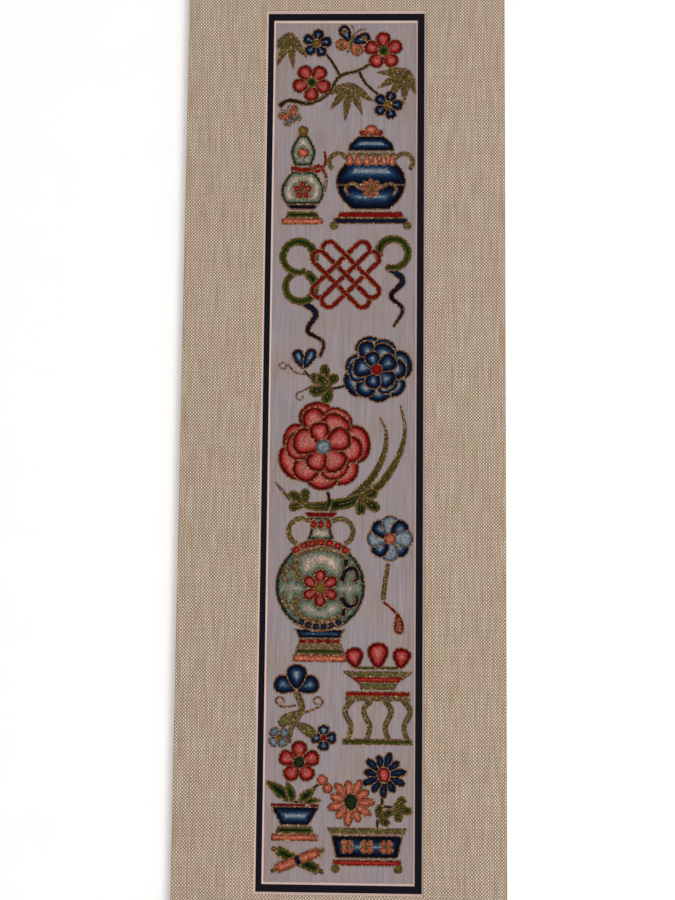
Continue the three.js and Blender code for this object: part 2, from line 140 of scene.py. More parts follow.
def oval(x, y, across, along=None, turn=0.0, count=28):
    along = across if along is None else along
    t = np.linspace(0, 2 * math.pi, count, endpoint=False)
    return place(np.stack([across * np.cos(t), along * np.sin(t)], 1), x, y, turn)


def petal(x, y, turn, length, width, count=30):
    """A petal rooted at (x, y): narrow there, round at the outer end."""
    t = np.linspace(0, 2 * math.pi, count, endpoint=False)
    along = (1 - np.cos(t)) / 2
    side = (width / 2) * np.sin(t) * (0.56 + 0.69 * along)
    return place(np.stack([length * along, side], 1), x, y, turn)


def leaf(x, y, turn, length, width, bend=0.0, count=12):
    u = np.arange(1, count) / count
    half = (width / 2) * np.sin(math.pi * u**0.8)
    right = np.stack([length * u, bend * u * u - half], 1)
    left = np.stack([length * u, bend * u * u + half], 1)[::-1]
    return place(np.vstack([[(0, 0)], right, [(length, bend)], left]), x, y, turn)


def spline(path, steps):
    """Points and unit directions along a smooth line through given points."""
    p = np.array(path, float)
    last = len(p) - 1
    spots = []
    for i in range(steps + 1):
        at = last * i / steps
        k = min(int(at), last - 1)
        w = at - k
        a, b, c, d = (p[min(max(k + j, 0), last)] for j in (-1, 0, 1, 2))
        v0, v1 = (c - a) / 2, (d - b) / 2
        cubic = (2 * b - 2 * c + v0 + v1) * w**3 + (-3 * b + 3 * c - 2 * v0 - v1) * w**2
        spots.append(cubic + v0 * w + b)
    spots = np.array(spots)
    ahead = np.gradient(spots, axis=0)
    return spots, ahead / np.linalg.norm(ahead, axis=1, keepdims=True)


def ribbon(path, width, end_width=None):
    """A strip of cord or stem along a smooth line."""
    end_width = width if end_width is None else end_width
    steps = 8 * (len(path) - 1)
    spots, ahead = spline(path, steps)
    half = np.linspace(width, end_width, steps + 1)[:, None] / 2
    side = np.stack([-ahead[:, 1], ahead[:, 0]], 1) * half
    return place(np.vstack([spots - side, (spots + side)[::-1]]))


def arc(x, y, radius, start, end, width, end_width=None, steps=26):
    """Part of a ring, from one angle to another."""
    end_width = width if end_width is None else end_width
    t = np.radians(np.linspace(start, end, steps + 1))
    half = np.linspace(width, end_width, steps + 1) / 2
    ray = np.stack([np.cos(t), np.sin(t)], 1)
    outer, inner = ray * (radius + half)[:, None], ray * (radius - half)[:, None]
    return place(np.vstack([outer, inner[::-1]]), x, y)


def half_width(rows, height):
    """Half the width of a turned vessel at a height, smooth between rows of (height, half width)."""
    last = len(rows) - 1
    i = max([k for k in range(last) if rows[k][0] <= height], default=0)

    def slope(j):
        a, b = rows[max(j - 1, 0)], rows[min(j + 1, last)]
        return (b[1] - a[1]) / (b[0] - a[0])

    span = rows[i + 1][0] - rows[i][0]
    u = (height - rows[i][0]) / span
    rise = (rows[i + 1][1] - rows[i][1]) * (3 * u**2 - 2 * u**3)
    start = slope(i) * span * (u**3 - 2 * u**2 + u)
    end = slope(i + 1) * span * (u**3 - u**2)
    return rows[i][1] + rise + start + end


def turned(x, y, rows, low, high):
    """The stretch of a turned vessel between two heights."""
    heights = np.linspace(low, high, 17)
    half = np.array([half_width(rows, h) for h in heights])
    right = np.stack([half, heights], 1)
    left = np.stack([-half, heights], 1)[::-1]
    return place(np.vstack([right, left]), x, y)


def board(x, y, low, high, half, half_high=None):
    """A board seen from the front, between two heights, wider or narrower at its top."""
    top = half if half_high is None else half_high
    return place([(-half, low), (half, low), (top, high), (-top, high)], x, y)


# Cells: stitched areas, front ones first


@dataclass
class Cell:
    """An outline to be filled in one tone with knots or threads. A level above 0 is raised, and
    an edge listed as bare has no gold."""

    node: str
    outline: np.ndarray
    tone: str
    level: int = 0
    fill: str = "knots"
    bare: tuple = ()

    @property
    def low(self):
        return self.outline.min(0)

    @property
    def high(self):
        return self.outline.max(0)


cells = []
veins = []


def stitch(node, tone, *outlines, level=0, **how):
    cells.extend(Cell(node, o, tone, level, **how) for o in outlines)


def lay(node, *outlines, **how):
    """Shapes filled with threads laid side by side, without knots."""
    stitch(node, "olive", *outlines, fill="threads", **how)


def vein(node, *paths):
    """Single gold threads laid over the knots."""
    veins.extend([node, np.array(path, float)] for path in paths)


def sized(motif, x, y, scale):
    """Works a motif larger or smaller than it is drawn, about its own point."""
    first_cell, first_vein = len(cells), len(veins)
    motif(x, y)
    for cell in cells[first_cell:]:
        cell.outline = (cell.outline - (x, y)) * scale + (x, y)
    for entry in veins[first_vein:]:
        entry[1] = (entry[1] - (x, y)) * scale + (x, y)


# Motifs

# How long, how wide and how far round from even each petal of a full flower is
OUTER_PETALS = [(1, 1.14, 0), (0.9, 0.95, 6), (0.98, 1.04, -4), (0.88, 0.92, 4), (1, 1.16, -3),
                (0.92, 1, 6), (0.96, 0.95, -3)]
BETWEEN_PETALS = [(1, 1, 0), (0.93, 1.1, 5), (1.05, 0.9, -6), (0.95, 1.06, 3), (1.04, 1, -3),
                  (0.9, 1.1, 4)]
MIDDLE_PETALS = [(1, 1, 0), (0.88, 0.85, 7), (1.08, 1.12, -5), (0.9, 0.9, 5), (1, 1.06, -4)]


def heading(turn):
    return np.array([math.cos(math.radians(turn)), math.sin(math.radians(turn))])


def blossom(node, x, y, radius, turn, tone, count=5, heart="leaf"):
    stitch(node, heart, oval(x, y, radius * 0.3), level=1)
    for i in range(count):
        angle = turn + 360 / count * i
        stitch(node, tone, petal(x, y, angle, radius, radius * 4.1 / count))
        vein(node, [heading(angle) * radius * a + (x, y) for a in (0.34, 0.45, 0.58)])


def peony(node, x, y, radius, turn, tone, heart):
    """A full flower: a heart, then rounds of petals that grow longer and lie further back."""
    stitch(node, heart, oval(x, y, radius * 0.17), level=2)
    rounds = ((MIDDLE_PETALS, 0.62, 0.56, 20, 1), (BETWEEN_PETALS, 0.84, 0.62, -10, 0),
              (OUTER_PETALS, 1, 0.76, 0, 0))
    for table, reach, width, offset, level in rounds:
        for i, (long, wide, shift) in enumerate(table):
            angle = turn + offset + shift + 360 / len(table) * i
            one = petal(x, y, angle, radius * reach * long, radius * width * wide, 44)
            stitch(node, tone, one, level=level)


def daisy(node, x, y, radius, turn, tone, heart, count=11):
    stitch(node, heart, oval(x, y, radius * 0.3, radius * 0.36, turn), level=1)
    for i in range(count):
        length = radius * (0.88 if i % 2 else 1)
        stitch(node, tone, petal(x, y, turn + 360 / count * i, length, radius * 0.4, 24))


def spray(node, x, y, turn, spread, length, count=5):
    for i in sorted(range(count), key=lambda k: abs(k - (count - 1) / 2)):
        across = i / (count - 1) - 0.5
        reach = length * (1 - 0.5 * abs(across))
        blade = leaf(x, y, turn + spread * across, reach, length * 0.2, across * length * 0.25)
        lay(node, blade)
        middle = leaf(x, y, turn + spread * across, reach, 0, across * length * 0.25)
        vein(node, [middle[i] for i in (2, 5, 9)])


def lobed_leaf(node, x, y, turn, size):
    for angle, length in ((0, size), (50, size * 0.8), (-50, size * 0.8)):
        stitch(node, "leaf", petal(x, y, turn + angle, length, size * 0.5))
        vein(node, [heading(turn + angle) * length * a + (x, y) for a in (0.15, 0.4, 0.72)])


def tendril(node, path):
    """A thin curl of couched threads."""
    lay(node, ribbon(path, 1.3, 0.9))


def curl(x, y, radius, turn, sign=1):
    """A path that leaves a point and winds in on itself."""
    winds = [(a, radius * (1 - a / 520)) for a in range(0, 331, 55)]
    return [heading(turn + sign * a) * r + heading(turn) * -radius + (x, y) for a, r in winds]


def butterfly(node, x, y, size, turn, fore, hind):
    for sign in (-1, 1):
        bends = ((6, 0.3), (12, 0.46), (26, 0.6))
        tendril(node, [heading(turn + sign * a) * size * r + (x, y) for a, r in bends])
    lay(node, oval(x, y, size * 0.3, size * 0.07, turn), level=1)
    wings = ((48, 0.6, fore), (-48, 0.6, fore), (118, 0.44, hind), (-118, 0.44, hind))
    for angle, length, tone in wings:
        spot = heading(turn + angle) * size * length * 0.66 + (x, y)
        stitch(node, "gilt", oval(*spot, size * 0.085))
        stitch(node, tone, petal(x, y, turn + angle, size * length, size * 0.38))


def plinth(node, x, y, half, height, tones):
    stitch(node, tones[0], board(x, y, 0, height * 0.52, half, half - 1.5))
    stitch(node, tones[1], board(x, y, -height * 0.48, 0.1, half + 2))


def plum_spray():
    blossom("plum_red_high", 24, 252, 13, 20, "rose")
    blossom("plum_red_low", -22, 231, 13, 52, "rose")
    blossom("plum_navy_high", -19, 257, 10, 10, "navy", heart="gilt")
    blossom("plum_navy_low", 27, 216, 10, 0, "navy", heart="gilt")
    butterfly("butterfly_high", 3, 257, 23, 70, "navy", "salmon")
    main = [(-43, 215), (-36, 219), (-24, 217), (-12, 223), (-4, 235), (8, 239), (20, 246)]
    stitch("plum_branch", "pine", ribbon(main, 3.6, 2.2))
    stitch("plum_branch", "pine", ribbon([(-4, 235), (-8, 243), (-13, 250)], 2.4, 1.8))
    stitch("plum_branch", "pine", ribbon([(8, 239), (13, 230), (21, 223)], 2.4, 1.8))
    spray("bamboo_right", 40, 240, 238, 84, 28)
    spray("bamboo_left", -36, 265, 262, 60, 28, 4)
    spray("bamboo_middle", 3, 231, 262, 96, 27)


def gourd(x, y):
    rows = [(0, 7), (6, 11.6), (13, 12.6), (20, 9), (25, 5.2), (30, 6.6), (35, 7.4), (41, 5), (45, 2.4)]
    long_end = ribbon([(x + 5, y + 24), (x + 10, y + 26), (x + 13.5, y + 19), (x + 12.5, y + 10)], 3, 1.6)
    short_end = ribbon([(x + 5, y + 24), (x + 9, y + 23), (x + 13, y + 28), (x + 12.5, y + 35)], 2.6, 1.4)
    band = ribbon([(x - 7, y + 25), (x, y + 23.5), (x + 7, y + 25)], 3.4)
    stitch("gourd_ribbon", "coral", long_end, band, short_end)
    blossom("gourd_low", x, y + 11.5, 5.6, 18, "coral", 5, "gilt")
    stitch("gourd_low", "navy", turned(x, y, rows, 0, 3.4))
    stitch("gourd_low", "celadon", turned(x, y, rows, 3, 23))
    stitch("gourd_high", "gilt", oval(x, y + 47, 3, 3.2), level=1)
    stitch("gourd_high", "salmon", oval(x, y + 34, 3.4, 3))
    stitch("gourd_high", "celadon", turned(x, y, rows, 26, 45))
    plinth("gourd_stand", x, y - 5, 10, 8, ("leaf", "salmon"))


def melon_jar(x, y):
    body = [(0, 11), (6, 17), (14, 20.5), (22, 20), (29, 15), (33, 11)]
    lid = [(0, 14), (5, 12.5), (9, 8), (12, 3)]
    stitch("jar_knob", "salmon", oval(x, y + 48.5, 4, 3.4))
    stitch("jar_knob", "coral", petal(x - 1, y + 45, 18, 8.5, 4.6), petal(x + 1, y + 45, 162, 8.5, 4.6))
    stitch("jar_lid", "navy", turned(x, y + 35.5, lid, 0, 9.5))
    lay("jar_collar", board(x, y + 32, 0.6, 2.8, 15, 14))
    for i in range(6):
        stitch("jar_collar", "salmon", petal(x - 12.5 + i * 5, y + 34.5, 270, 8, 5))
    left = arc(x - 19.5, y + 29, 5.2, 20, 235, 2.8)
    right = arc(x + 19.5, y + 29, 5.2, -55, 160, 2.8)
    lay("jar_collar", left, right)
    blossom("jar_body", x, y + 13, 6.4, 0, "salmon", 8, "gilt")
    for sign in (-1, 1):
        rise = [(x + sign * 6, y + 13), (x + sign * 11, y + 16), (x + sign * 15, y + 13)]
        lay("jar_body", ribbon([*rise, (x + sign * 13, y + 8.5)], 2.6, 1.6))
    stitch("jar_body", "navy", turned(x, y, body, 15, 32))
    stitch("jar_body", "navy", turned(x, y, body, 0, 15.4))
    lay("jar_stand", oval(x - 21.5, y - 9.5, 2.6), oval(x + 21.5, y - 9.5, 2.6))
    plinth("jar_stand", x, y - 4.9, 20, 7.6, ("red", "navy"))


def lucky_knot(x, y):
    """Three cords each way, passing over and under, their ends turned back at the rim."""
    half, cord, pitch = 15.5, 2.9, 7.0
    offsets = (-pitch, 0, pitch)
    for turn, parity in ((45, 0), (135, 1)):
        side = 1 if turn == 45 else -1
        for i, offset in enumerate(offsets):
            unders = sorted(side * c for j, c in enumerate(offsets) if (i + j) % 2 == parity)
            stops = [-half, *(stop for c in unders for stop in (c - cord / 2, c + cord / 2)), half]
            for start, end in zip(stops[::2], stops[1::2]):
                low, high = offset - cord / 2, offset + cord / 2
                bar = [(start, low), (end, low), (end, high), (start, high)]
                stitch("knot_lattice", "red", place(bar, x, y, turn), bare=(1, 3))
    for turn in (45, 135, 225, 315):
        for offset in (pitch / 2, -pitch / 2):
            loop = arc(half, offset, pitch / 2, -90, 90, cord, steps=16)
            stitch("knot_lattice", "red", place(loop, x, y, turn), bare=(16, 33))
    stitch("knot_ribbon_left", "leaf", arc(x - 24, y + 9, 8, -20, 300, 4.8, 3.4))
    stitch("knot_ribbon_left", "leaf", arc(x - 23, y - 6.5, 7.5, 70, -250, 4.8, 3.4))
    tail = [(x - 23, y - 13.5), (x - 15, y - 20), (x - 19, y - 29), (x - 11, y - 35), (x - 13, y - 43)]
    stitch("knot_ribbon_left", "navy", ribbon(tail, 4.2, 1.8))
    stitch("knot_ribbon_right", "leaf", arc(x + 24, y + 11, 7.5, 200, -120, 4.8, 3.4))
    tail = [(x + 21, y + 4), (x + 29, y - 3), (x + 23, y - 11), (x + 29, y - 18), (x + 24, y - 27)]
    stitch("knot_ribbon_right", "navy", ribbon(tail, 4.2, 1.8))


def blue_peony(x, y):
    peony("peony_blue", x, y, 23, 12, "blue", "red")
    stitch("peony_blue_bud", "blue", petal(x - 46, y, 64, 15, 8.5), petal(x - 46, y, 112, 14, 8.5))
    stem = [(x - 19, y - 10), (x - 28, y - 12), (x - 38, y - 8), (x - 46, y - 0.6)]
    lobed_leaf("peony_blue_leaves", x - 28, y - 11, 196, 15)
    lobed_leaf("peony_blue_leaves", x - 33, y - 10.5, 88, 14)
    stitch("peony_blue_leaves", "pine", ribbon(stem, 2.2, 1.7))
    tendril("peony_blue_leaves", [(x - 37, y - 8), (x - 43, y - 12), *curl(x - 47, y - 14, 3.4, 80)])
    tendril("peony_blue_leaves", [(x - 44, y - 3), (x - 51, y - 2), *curl(x - 56, y + 3, 3.2, 0, -1)])


def red_peony(x, y):
    node = "peony_red_leaves"
    peony("peony_red", x, y, 30, 5, "rose", "sky")
    lobed_leaf(node, x + 23, y - 31, 325, 15)
    lobed_leaf(node, x - 11, y - 36.5, 140, 13)
    rise = [(x + 4, y - 37), (x + 18, y - 34), (x + 34, y - 25)]
    outer = [*rise, (x + 46, y - 8), (x + 51, y + 10), (x + 48, y + 27)]
    inner = [(x + 16, y - 34), (x + 30, y - 20), (x + 38, y - 4), (x + 39, y + 10), (x + 35, y + 19)]
    left = [(x + 4, y - 37), (x - 9, y - 37), (x - 21, y - 32), (x - 30, y - 22)]
    stitch(node, "pine", ribbon([(x + 3, y - 28), (x + 4, y - 34), (x + 2, y - 40)], 2.4))
    for path, width, end in ((outer, 8.5, 1), (inner, 6, 0.9), (left, 7, 1)):
        stitch(node, "leaf", ribbon(path, width, end))
        vein(node, spline(path, 30)[0][3:-7:2])


def moon_flask(x, y):
    neck = [(0, 9), (5, 7), (12, 6.6), (15, 8)]
    foot = [(0, 15), (4, 13), (9, 14), (12, 16)]
    blossom("flask_flower", x, y - 1, 12, 30, "rose", 6, "gilt")
    panel = 80 / 7
    for i in range(7):
        start = 50 + i * panel
        stitch("flask_collar", "coral", arc(x, y, 27.2, start, start + panel, 5, steps=5))
    for i in range(6):
        stitch("flask_body", "blue", arc(x, y, 24.8, 237 + 11 * i, 248 + 11 * i, 5, steps=4))
    lay("flask_body", arc(x, y, 21.2, 234, 306, 2), arc(x, y, 23.4, 46, 134, 2))
    for sign, tone, fill in ((-1, "olive", "threads"), (1, "navy", "knots")):
        scroll = [(13, 3), (16, 10), (21.5, 11), (23, 5), (19.5, 3.5)]
        hook = [(13, -6), (17, -12), (22.5, -10), (22, -4.5)]
        for path in (scroll, hook):
            bent = ribbon([(x + sign * a, y + b) for a, b in path], 4.2, 2.4)
            stitch("flask_body", tone, bent, fill=fill)
        high = petal(x + sign * 15, y + 11, 90 - sign * 10, 7.5, 4.4)
        low = petal(x + sign * 15, y - 12, 270 - sign * 8, 7, 4.2)
        stitch("flask_body", tone, high, low, fill=fill)
    stitch("flask_body", "celadon", oval(x, y, 28, 28, 0, 72))
    stitch("flask_neck", "red", turned(x, y + 43, [(0, 8), (3, 10.5)], 0, 3), level=1)
    for i in range(3):
        stitch("flask_neck", "coral", petal(x - 4.6 + i * 4.6, y + 42.5, 270, 7, 4.8))
    stitch("flask_neck", "celadon", turned(x, y + 28.6, neck, 0, 14.6))
    left = arc(x - 12, y + 34, 8, 50, 250, 3.2)
    right = arc(x + 12, y + 34, 8, -70, 130, 3.2)
    lay("flask_neck", left, right)
    lay("flask_foot", turned(x, y - 38, foot, 0, 2.6))
    for i in range(5):
        stitch("flask_foot", "coral", board(x - 10.4 + i * 5.2, y - 38, 2.4, 6.2, 2.6))
    stitch("flask_foot", "navy", turned(x, y - 38, foot, 5.8, 12))
    stitch("flask_foot", "leaf", board(x, y - 42, 0.3, 4.2, 15.5, 14.5))
    stitch("flask_foot", "salmon", board(x, y - 46.4, 0, 4.6, 16.5))


def round_fan(x, y):
    stitch("fan_leaf", "salmon", oval(x, y, 3.8), level=1)
    for i in range(8):
        stitch("fan_leaf", "blue" if i % 2 else "sky", petal(x, y, 45 * i, 14.5, 11.7))
    handle = [(x - 1, y - 15.5), (x - 3, y - 28), (x - 4, y - 38)]
    lay("fan_handle", ribbon(handle, 2.8, 3.2))
    stitch("fan_tassel", "rose", petal(x + 5, y - 45.5, 275, 14, 7))
    vein("fan_tassel", *([(x + 5.2 + s, y - 49), (x + 5.7 + 1.6 * s, y - 58)] for s in (-1, 0, 1)))
    stitch("fan_tassel", "red", ribbon([(x - 4, y - 39), (x + 1, y - 43), (x + 5, y - 47)], 1.8))


def peach_dish(x, y):
    rows = [(0, 10), (4, 12), (9, 19), (11, 20.5)]
    stitch("peaches", "rose", petal(x, y + 12, 90, 16, 13.5), petal(x - 13, y + 12, 97, 13, 12))
    stitch("peaches", "rose", petal(x + 13, y + 12, 83, 13, 12))
    stitch("peaches", "leaf", board(x, y + 11.8, 0, 1.9, 14))
    stitch("dish", "coral", turned(x, y, rows, 4, 8), level=1)
    lay("dish", turned(x, y, rows, 0, 11))
    for sign, out in ((1, 14), (-1, 14), (1, 3), (-1, 3)):
        knee = x + sign * out
        bow = [(knee, y - 5), (knee + sign * 5, y - 12), (knee + sign * 1.5, y - 21)]
        lay("dish_stand", ribbon([*bow, (knee + sign * 3.5, y - 29)], 3.6, 3))
    stitch("dish_stand", "coral", board(x, y - 6.5, 2.6, 5.8, 19))
    lay("dish_stand", board(x, y - 6.5, 0, 3, 19))
    stitch("dish_stand", "leaf", board(x, y - 31.6, 0, 3.6, 20.5))


def cloud_head(x, y):
    lobes = petal(x, y, 90, 14, 12), petal(x, y, 22, 13, 11), petal(x, y, 158, 13, 11)
    stitch("cloud_head", "blue", *lobes)
    stem = [(x, y - 1), (x + 3, y - 10), (x - 2, y - 19), (x - 4, y - 28)]
    leaves = [petal(x + 2.5, y - 11, 212, 14, 6.5), petal(x - 0.5, y - 17, 328, 13, 6.5)]
    lay("cloud_stem", ribbon(stem, 4, 2.6), *leaves)
    tendril("cloud_stem", [(x + 4, y - 12), (x + 10, y - 10), *curl(x + 14, y - 7, 3, -20)])
    tendril("cloud_stem", [(x, y - 8), (x - 7, y - 9), *curl(x - 11, y - 6, 2.6, 180, -1)])


def flower_bowl(x, y):
    rows = [(0, 8), (4, 10), (9, 13), (12, 13.5)]
    blossom("bowl_red_flower", x + 2, y + 34.5, 12, 18, "rose", 5, "pine")
    blossom("bowl_navy_flower", x + 15.5, y + 48, 7.5, 0, "blue", 4, "red")
    blossom("bowl_pale_flower", x - 9.5, y + 48, 6.5, 40, "sky", 4, "gilt")
    blades = ((-1, 103, 13, 6, 1), (-2, 130, 20, 7, 4), (2, 50, 13, 6, -2), (3, 22, 12, 5, -3))
    for offset, turn, length, width, bend in blades:
        stitch("bowl_leaves", "leaf", leaf(x + offset, y + 12.2, turn, length, width, bend))
    stitch("bowl_leaves", "salmon", oval(x + 15, y + 25, 3.2), oval(x + 18, y + 20.5, 3))
    stitch("bowl_leaves", "pine", ribbon([(x + 3, y + 12.4), (x + 8, y + 19), (x + 14, y + 23)], 1.6))
    stitch("bowl_leaves", "pine", board(x, y + 12.2, 0, 1.6, 5, 4))
    stitch("bowl", "red", turned(x, y, rows, 10.2, 12))
    stitch("bowl", "blue", turned(x, y, rows, 0, 10.6))
    plinth("bowl_stand", x, y - 4.5, 11, 8, ("leaf", "salmon"))


def scrolls(x, y):
    for turn, tone, level in ((22, "salmon", 1), (-24, "leaf", 0)):
        tie = [(-2, -3.2), (2, -3.2), (2, 3.2), (-2, 3.2)]
        body = [(-14, -3.2), (14, -3.2), (14, 3.2), (-14, 3.2)]
        core = [(-17.5, -1.5), (17.5, -1.5), (17.5, 1.5), (-17.5, 1.5)]
        for part, silk in ((tie, "navy"), (body, tone), (core, "gilt")):
            stitch("scroll_pair", silk, place(part, x, y, turn), level=level)


def planter(x, y):
    daisy("daisy_navy", x + 10, y + 50, 14.5, 8, "navy", "rose")
    daisy("daisy_coral", x - 10, y + 33.5, 15, 0, "salmon", "pine")
    lobed_leaf("daisy_stem", x + 16, y + 30.5, 348, 12)
    lobed_leaf("daisy_stem", x + 6, y + 24, 25, 11)
    stem = [(x + 9, y + 37), (x + 9, y + 31), (x + 7, y + 25), (x + 6, y + 18.5)]
    stitch("daisy_stem", "pine", ribbon(stem, 2))
    stitch("daisy_stem", "pine", ribbon([(x + 9, y + 31), (x + 13, y + 31), (x + 17, y + 30.5)], 1.8))
    lay("planter_rim", board(x, y + 14.5, 0, 3.8, 23, 24.5))
    for i in (0, -1, 1):
        blossom("planter_side", x + i * 12, y + 7, 4.8, 45, "salmon", 4, "gilt")
    stitch("planter_side", "navy", board(x, y, 0, 13.9, 19, 22))
    lay("planter_foot", oval(x - 19, y - 6, 2.8), oval(x + 19, y - 6, 2.8))
    stitch("planter_foot", "coral", board(x, y - 4.5, 0, 3.9, 21))


plum_spray()
sized(gourd, -27, 147, 1.1)
butterfly("butterfly_low", -35, 207.5, 15, 120, "salmon", "sky")
sized(melon_jar, 16.5, 147, 1.08)
sized(lucky_knot, 1, 105, 1.25)
blue_peony(21, 44)
red_peony(-12, -5)
moon_flask(-13, -92)
round_fan(30, -62)
sized(peach_dish, 23, -155, 1.05)
sized(cloud_head, -27, -155.5, 1.15)
sized(flower_bowl, -27, -237, 1.1)
scrolls(-25, -257.5)
planter(17, -256)


# Distances in the plane of the cloth, and how far off an outline in front is looked for

NEAR, FAR = 3.0, 30.0


def depth(points, outline, margins=0.0):
    """How far each point lies inside a closed outline and its edges' margins; negative outside."""
    a = outline
    b = np.roll(outline, -1, 0)
    ab = b - a
    out = np.empty(len(points))
    share = 2_000_000 // len(a)
    for start in range(0, len(points), share):
        p = points[start : start + share, None, :]
        ap = p - a
        along = np.clip((ap * ab).sum(2) / (ab * ab).sum(1), 0, 1)
        away = np.linalg.norm(ap - ab * along[..., None], axis=2)
        y = p[..., 1]
        crosses = (a[:, 1] > y) != (b[:, 1] > y)
        rise = np.where(ab[:, 1] == 0, 1e-9, ab[:, 1])
        at = a[:, 0] + (y - a[:, 1]) * ab[:, 0] / rise
        odd = (crosses & (p[..., 0] < at)).sum(1) % 2
        out[start : start + share] = np.where(odd == 1, (away - margins).min(1), -away.min(1))
    return out


def dense(outline):
    """Evenly spaced points on an outline, their inward directions and the edges they lie on."""
    spots, inward, edges = [], [], []
    for i, (a, b) in enumerate(zip(outline, np.roll(outline, -1, 0))):
        span = np.linalg.norm(b - a)
        if span < 1e-6:
            continue
        count = max(1, round(span / SAMPLE))
        ahead = (b - a) / span
        for k in range(count):
            spots.append(a + (b - a) * (k + 0.5) / count)
            inward.append((-ahead[1], ahead[0]))
            edges.append(i)
    return np.array(spots), np.array(inward), np.array(edges)


def fronts_of(index):
    """The outlines of the cells in front of one that reach into its box."""
    cell = cells[index]
    near = [c for c in cells[:index] if (c.low < cell.high + 1).all() and (c.high > cell.low - 1).all()]
    return [c.outline for c in near]


def clear_of(points, fronts, within=NEAR):
    """How far each point lies outside every front outline, and inside the view of the window."""
    out = np.minimum(VIEW_HALF[0] - np.abs(points[:, 0]), VIEW_HALF[1] - np.abs(points[:, 1]))
    for outline in fronts:
        low, high = outline.min(0) - within, outline.max(0) + within
        near = ((points > low) & (points < high)).all(1)
        if near.any():
            out[near] = np.minimum(out[near], -depth(points[near], outline))
    return out


# Rows of knots


class Spots:
    """Places already taken by knots, in a grid of squares."""

    def __init__(self, pitch):
        self.pitch = pitch
        self.squares = {}
        self.places = []

    def add(self, point, least):
        i, j = int(point[0] // self.pitch), int(point[1] // self.pitch)
        for a in (i - 1, i, i + 1):
            for b in (j - 1, j, j + 1):
                for q in self.squares.get((a, b), ()):
                    if (q[0] - point[0]) ** 2 + (q[1] - point[1]) ** 2 < least * least:
                        return
        self.squares.setdefault((i, j), []).append(point)
        self.places.append(point)


def gold_count(cell):
    """Two gold threads round a cell, or one where it is too narrow for two and a row of knots."""
    widest = float(depth(grid_over(cell, 0.4), cell.outline).max(initial=0))
    return 2 if widest > NARROW else 1


def knot_rows(cell, fronts):
    """Places for knots in rows that follow the cell's edges, then in what room is left, each
    with its distance in from the cell's own border and from whatever lies in front."""
    margins = np.full(len(cell.outline), gold_count(cell) * GOLD + BORDER_EASE)
    margins[list(cell.bare)] = 0
    walls = [(cell.outline, margins, 1)] + [(o, np.full(len(o), GAP_TO_FRONT), -1) for o in fronts]

    def room(points):
        own = depth(points, cell.outline, margins)
        return np.minimum(own, clear_of(points, fronts, FAR) - GAP_TO_FRONT)

    taken = Spots(PITCH)
    sampled = [(*dense(o), margin, sign) for o, margin, sign in walls]
    most = max(0.0, float(room(grid_over(cell, 1.2)).max(initial=0)))
    for k in range(int(most / PITCH) + 1):
        offset = (k + 0.5) * PITCH
        for spots, inward, edges, margin, sign in sampled:
            shifted = spots + sign * inward * (offset + margin[edges])[:, None]
            shifted = shifted[((shifted > cell.low) & (shifted < cell.high)).all(1)]
            if len(shifted):
                for point in shifted[room(shifted) > offset - ROW_SLACK * PITCH]:
                    taken.add(point, ROW_CLOSE * PITCH)
    left = grid_over(cell, PITCH * FILL_TRY)
    for point in left[room(left) > FILL_ROOM * PITCH]:
        taken.add(point, FILL_CLOSE * PITCH)
    places = np.array(taken.places).reshape(-1, 2)
    return places, depth(places, cell.outline, margins), clear_of(places, fronts, FAR)


def room_left(cell, fronts, laid):
    """Places inside a shape filled with threads that no thread has reached."""
    grid = grid_over(cell, GOLD)
    grid = grid[(depth(grid, cell.outline) > GOLD) & (clear_of(grid, fronts) > GOLD)]
    before = len(laid.places)
    for point in grid:
        laid.add(point, 0.9 * GOLD)
    return laid.places[before:]


def grid_over(cell, step):
    x = np.arange(cell.low[0] + 0.1, cell.high[0], step)
    y = np.arange(cell.low[1] + 0.1, cell.high[1], step)
    return np.stack(np.meshgrid(x, y), 2).reshape(-1, 2)


# Runs of thread


def runs_at(cell, fronts, offset, least):
    """Runs of points at one offset inside the cell's outline, where nothing lies in front."""
    spots, inward, edges = dense(cell.outline)
    shifted = spots + inward * offset
    keep = depth(shifted, cell.outline) > offset - 0.03
    keep &= clear_of(shifted, fronts) > GAP_TO_FRONT
    keep &= ~np.isin(edges, cell.bare)
    if keep.all():
        return [(shifted, True)]
    if not keep.any():
        return []
    start = int(np.argmin(keep))
    order = np.roll(np.arange(len(keep)), -start)
    runs, run = [], []
    for i in order:
        if keep[i]:
            run.append(shifted[i])
        elif run:
            runs.append(run)
            run = []
    runs.append(run)
    return [(np.array(r), False) for r in runs if len(r) * SAMPLE > least]


def thinned(run, closed):
    """Every third point of a run, smoothed a little, with its ends kept."""
    if closed:
        return ((np.roll(run, 1, 0) + run * 2 + np.roll(run, -1, 0)) / 4)[::3]
    soft = run.copy()
    soft[1:-1] = (run[:-2] + run[1:-1] * 2 + run[2:]) / 4
    return np.vstack([soft[:-1:3], soft[-1:]])


# Meshes


def mesh_object(name, bm, *materials):
    mesh = bpy.data.meshes.new(name)
    bm.to_mesh(mesh)
    bm.free()
    for material in materials:
        mesh.materials.append(material)
    made = bpy.data.objects.new(name, mesh)
    bpy.context.scene.collection.objects.link(made)
    return made


def settled(made):
    """The object with its modifiers made into a plain mesh."""
    graph = bpy.context.evaluated_depsgraph_get()
    worked = made.evaluated_get(graph)
    mesh = bpy.data.meshes.new_from_object(worked, preserve_all_data_layers=True, depsgraph=graph)
    made.modifiers.clear()
    old = made.data
    made.data = mesh
    mesh.name = made.name
    bpy.data.meshes.remove(old)
    return made


def smooth(made):
    made.data.shade_smooth()
    return made


# Node trees


